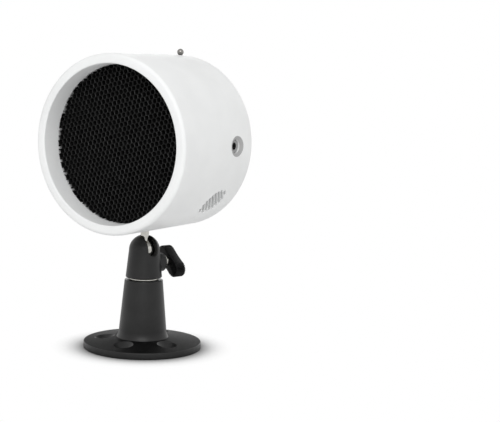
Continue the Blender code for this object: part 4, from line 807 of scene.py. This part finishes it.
def make_screws():
    """Small socket screws, sunk into the panel."""
    shank, head, seat, tip, socket = 0.0011, 0.0017, -0.0016, -0.0106, 0.0018
    profile = [(0, tip), (shank, tip), (shank, seat), (head, seat), (head, -0.0005), (0.0015, -GAP),
               (0, -GAP)]
    for number, spot in enumerate(SCREWS, start=1):
        place = on_panel(spot)
        screw = turned(f"socket_screw_{number}", profile, SMALL, place)
        combined(screw, [prism(hexagon(socket), -0.0012, 0.001, place)])
        dressed(screw, dark_steel, "head", f"panel_screw_{number}", slot="steel")


def marks(name, shapes, material, thickness=0.00004):
    """Printed marks: thin flat shapes on the panel's face."""
    shape = bmesh.new()
    for outline in shapes:
        low = [shape.verts.new((x, y, 0.0)) for x, y in outline]
        high = [shape.verts.new((x, y, thickness)) for x, y in outline]
        shape.faces.new(low)
        shape.faces.new(high)
        for side in range(len(outline)):
            after = (side + 1) % len(outline)
            shape.faces.new((low[side], low[after], high[after], high[side]))
    dressed(solid(name, shape, PANEL), material, "head", slot="sticker_white")


def bar(x, y, width, height):
    """A rectangle by its centre."""
    corners = ((-1, -1), (1, -1), (1, 1), (-1, 1))
    return [(x + sx * width / 2, y + sy * height / 2) for sx, sy in corners]


def hoop(centre, radius, width, sides=28):
    """A flat ring, as a row of small quads."""
    pairs = list(zip(circle(radius, sides, centre), circle(radius - width, sides, centre)))
    return [[outer, next_outer, next_inner, inner]
            for (outer, inner), (next_outer, next_inner) in zip(pairs, pairs[1:] + pairs[:1])]


def make_label():
    """Silver plate with a ruled white sticker."""
    low, face = -0.0010, -0.0005
    dressed(plate("label", boxed(*LABEL), low, face, 0.0002), plate_silver, "head", "label_plate")
    size, middle, low = (0.0270, 0.0112), -0.0336, -0.0002
    sticker = plate("ruled_sticker", boxed(size, GAP, (middle, -0.0018)), low, 0.0, 0.00005)
    dressed(sticker, sticker_white, "head", "reference_sticker")
    marks("sticker_rules", [bar(middle, 0.0012, 0.0250, 0.00022), bar(middle, -0.0028, 0.0250, 0.00022),
                            bar(middle, -0.0068, 0.0268, 0.00050)], ink_black)


def make_keypad():
    """Silver plate with two soft buttons and their plus and minus marks."""
    low, through = -0.0010, -0.0050
    keypad = plate("keypad", boxed(*KEYPAD), low, 0.0, 0.0002)
    room = [well(boxed(*BUTTON, centre, GAP), through) for centre in BUTTONS.values()]
    dressed(combined(keypad, room), plate_silver, "head", "keypad_plate")
    flange_high = -PANEL_THICKNESS - GAP
    flange_low = flange_high - 0.0012
    flange = rounded_box((0.0159, 0.0156), 0.0030)
    outline = boxed(*BUTTON, (0.0, 0.0))
    crown = ((0.0, 0.0001), (0.0001, 0.00035), (0.0004, 0.00058), (0.0010, 0.00068), (0.0022, 0.0007))
    levels = [(flange, flange_low), (flange, flange_high), (outline(0.0), flange_high)]
    levels += [(outline(inset), height) for inset, height in crown]
    for key, centre in BUTTONS.items():
        button = block(f"soft_button_{key}", levels, on_panel(centre))
        dressed(button, button_dark, key, f"button_{key}")
    x, y, half_arm, arm, stroke = 0.0416, 0.0113, 0.00175, 0.0028, 0.0007
    plus = [bar(x, y, 0.0063, stroke), bar(x, y + half_arm, stroke, arm),
            bar(x, y - half_arm, stroke, arm)]
    marks("key_marks", [*plus, bar(0.0415, -0.0080, 0.0037, 0.0010)], ink_black)


def make_window():
    """Dark violet display window."""
    glass = plate("display_window", boxed(*WINDOW, -GAP), -0.0031, -0.0004, 0.0001)
    dressed(glass, window_violet, "head", "display_glass")


def make_serial():
    """Nine-pin connector's shell and flange, with holes for the hex jackscrews."""
    high = -PANEL_THICKNESS - GAP
    low, below = high - 0.0008, -0.0060
    wall = 0.0004
    outer = d_outline(SERIAL_SHELL, SERIAL_CORNER, SERIAL)
    tip = d_outline(grown(SERIAL_SHELL, -0.0002), SERIAL_CORNER - 0.00005, SERIAL)
    shell = block("serial_skirt", ((outer, low), (outer, 0.0020), (tip, 0.0023)), PANEL)
    flange = rounded_box(SERIAL_FLANGE, 0.0018, SERIAL)
    combined(shell, [prism(flange, low, high, PANEL)], "UNION")
    inner = d_outline(grown(SERIAL_SHELL, -2 * wall), SERIAL_CORNER - wall, SERIAL)
    cutters = [prism(inner, below, 0.0030, PANEL)]
    cutters += [prism(circle(JACKSCREW_HOLE, SMALL, spot), below, 0.0, PANEL) for spot in JACKSCREWS]
    dressed(combined(shell, cutters), steel, "head", "serial_shell")


def make_jackscrews():
    """Hex jackscrews with their threaded holes, on both sides of the connector."""
    low, high, bore = -0.0022, 0.0029, 0.0014
    wide, narrow = (hexagon(flats, (0, 0), math.pi / 6) for flats in (0.0050, 0.0045))
    thread = [(0, -0.0008), (bore, -0.0008), (bore, high), (0.0017, 0.0033), (0, 0.0033)]
    for number, spot in enumerate(JACKSCREWS, start=1):
        place = on_panel(spot)
        nut = block(f"hex_jack_{number}", ((wide, low), (wide, high), (narrow, 0.0032)), place)
        combined(nut, [rod(bore, -0.0064, -0.0012, SMALL, place)], "UNION")
        combined(nut, [turned("thread", thread, SMALL, place)])
        dressed(nut, steel, "head", f"jackscrew_{number}")


def make_usb():
    """Metal-rimmed USB opening."""
    outer = boxed(*USB_SHELL, USB)
    low, high, wall = -PANEL_THICKNESS - 0.0062 + GAP, 0.0003, 0.0003
    shell = block("usb_rim", ((outer(0.0), low), (outer(0.0), 0.0002), (outer(0.0001), high)), PANEL)
    combined(shell, [prism(outer(wall), low - 0.001, 0.0010, PANEL)])
    dressed(shell, steel, "head", "usb_shell")


def make_print():
    """Plain marks where the photographed panel has its words."""
    x, y = INLET_SIGN
    shapes = [bar(0.0, SERIAL[1] + 0.0099, 0.0084, 0.0006), bar(0.0, USB[1] - 0.0038, 0.0060, 0.0005)]
    for offset in (0.0056, -0.0056):
        shapes += hoop((x, y + offset), 0.0010, 0.00025)
    shapes += hoop(INLET_SIGN, 0.0013, 0.00028)
    shapes.append(circle(0.0005, 20, INLET_SIGN))
    for offset in (0.0029, -0.0029):
        shapes.append(bar(x, y + offset, 0.0003, 0.0026))
    marks("panel_marks", shapes, ink_white)


# ---------------------------------------------------------------- surroundings
def math_node(tree, kind, operation, first, second=None):
    """A node that works on one linked socket, or on two."""
    step = tree.nodes.new(kind)
    step.operation = operation
    tree.links.new(first, step.inputs[0])
    if second is not None:
        tree.links.new(second, step.inputs[1])
    return step


def make_floor():
    """White floor with a painted contact shadow round the stand's foot; it keeps the object's shadow and
    fades into a white surround.
    """
    # Painted shadow: the floor's colour darkens towards the stand's foot, by distance from the centre.
    painted_contact_shadow = ((0.038, grey(0.30)), (0.045, grey(0.72)), (0.053, grey(0.95)))
    fade_start, fade_end = 0.042, 0.062
    bpy.ops.mesh.primitive_plane_add(size=12.0, location=(0, 0, 0))
    floor = bpy.context.object
    floor.name = "floor"
    material = bpy.data.materials.new("floor_white_painted_shadow")
    tree, shader, place = links(material)
    reach = math_node(tree, "ShaderNodeVectorMath", "LENGTH", place).outputs["Value"]
    tree.links.new(ramp(tree, reach, painted_contact_shadow), shader.inputs["Base Color"])
    shader.inputs["Roughness"].default_value = 1.0
    shader.inputs["Specular IOR Level"].default_value = 0.0
    share = tree.nodes.new("ShaderNodeMapRange")
    share.interpolation_type = "SMOOTHSTEP"
    share.inputs["From Min"].default_value = fade_start
    share.inputs["From Max"].default_value = fade_end
    tree.links.new(reach, share.inputs["Value"])
    seen = math_node(tree, "ShaderNodeMath", "MULTIPLY", share.outputs["Result"], seen_directly(tree))
    glow = tree.nodes.new("ShaderNodeEmission")
    mix = tree.nodes.new("ShaderNodeMixShader")
    for number, node in enumerate((seen, shader, glow)):
        tree.links.new(node.outputs[0], mix.inputs[number])
    tree.links.new(mix.outputs[0], tree.nodes["Material Output"].inputs["Surface"])
    floor.data.materials.append(material)


def seen_directly(tree):
    """1 for camera, glossy and transmission rays, 0 for the rest."""
    path = tree.nodes.new("ShaderNodeLightPath")
    value = path.outputs["Is Camera Ray"]
    for key in ("Is Glossy Ray", "Is Transmission Ray"):
        value = math_node(tree, "ShaderNodeMath", "MAXIMUM", value, path.outputs[key]).outputs[0]
    return value


def make_world():
    """White where it is seen directly; as a light it is bright on one side and dim opposite."""
    bright_side, dim, bright = (0.35, -0.6, 0.5), 0.43, 0.78
    world = bpy.data.worlds.new("surround")
    bpy.context.scene.world = world
    world.use_nodes = True
    tree = world.node_tree
    background = tree.nodes["Background"]
    direction = tree.nodes.new("ShaderNodeTexCoord").outputs["Generated"]
    facing = math_node(tree, "ShaderNodeVectorMath", "DOT_PRODUCT", direction)
    facing.inputs[1].default_value = Vector(bright_side).normalized()
    light = tree.nodes.new("ShaderNodeMapRange")
    for key, number in (("From Min", -1.0), ("From Max", 1.0), ("To Min", dim), ("To Max", bright)):
        light.inputs[key].default_value = number
    tree.links.new(facing.outputs["Value"], light.inputs["Value"])
    strength = tree.nodes.new("ShaderNodeMix")
    strength.data_type = "FLOAT"
    tree.links.new(seen_directly(tree), strength.inputs[0])
    tree.links.new(light.outputs["Result"], strength.inputs[2])
    strength.inputs[3].default_value = 1.0
    tree.links.new(strength.outputs[0], background.inputs["Strength"])
    background.inputs["Color"].default_value = (1, 1, 1, 1)


def add_light(name, location, target, size, power):
    """A large soft lamp aimed at a point."""
    lamp = bpy.data.lights.new(name, "AREA")
    lamp.shape = "DISK"
    lamp.size = size
    lamp.energy = power
    holder = bpy.data.objects.new(name, lamp)
    holder.location = location
    aim = Vector(target) - Vector(location)
    holder.rotation_euler = aim.to_track_quat("-Z", "Y").to_euler()
    bpy.context.scene.collection.objects.link(holder)


def make_camera():
    """The camera's place and turn, fitted to the photograph's left unit."""
    location, heading, pitch, roll = (0.48945, -0.70551, 0.19700), 30.082, 83.188, 1.868
    camera = bpy.data.cameras.new("camera")
    camera.sensor_width = 36.0
    camera.lens = 92.92
    camera.clip_start = 0.01
    camera.clip_end = 50.0
    holder = bpy.data.objects.new("camera", camera)
    turns = [Matrix.Rotation(math.radians(angle), 4, axis)
             for angle, axis in ((heading, "Z"), (pitch, "X"), (roll, "Z"))]
    holder.matrix_world = Matrix.Translation(location) @ (turns[0] @ turns[1] @ turns[2])
    bpy.context.scene.collection.objects.link(holder)
    bpy.context.scene.camera = holder


make_camera()
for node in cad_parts.values():
    for slot in node.material_slots:
        slot.material = SLOT_FINISHES.get(plain(slot.material.name) if slot.material else "", steel)
make_housing()
make_plug()
make_honeycomb()
make_inlet()
make_base()
make_clamp()
make_swivel()
make_knob()
make_stud()
make_panel()
make_screws()
make_label()
make_keypad()
make_window()
make_serial()
make_jackscrews()
make_usb()
make_print()
make_floor()
make_world()
add_light("key", (0.43, -0.66, 0.64), (0, 0, 0.12), size=0.66, power=3.5)
add_light("rear", (-0.50, 1.00, 0.10), (0, 0, 0.13), size=0.8, power=2.6)
bpy.context.scene.view_settings.view_transform = "Standard"
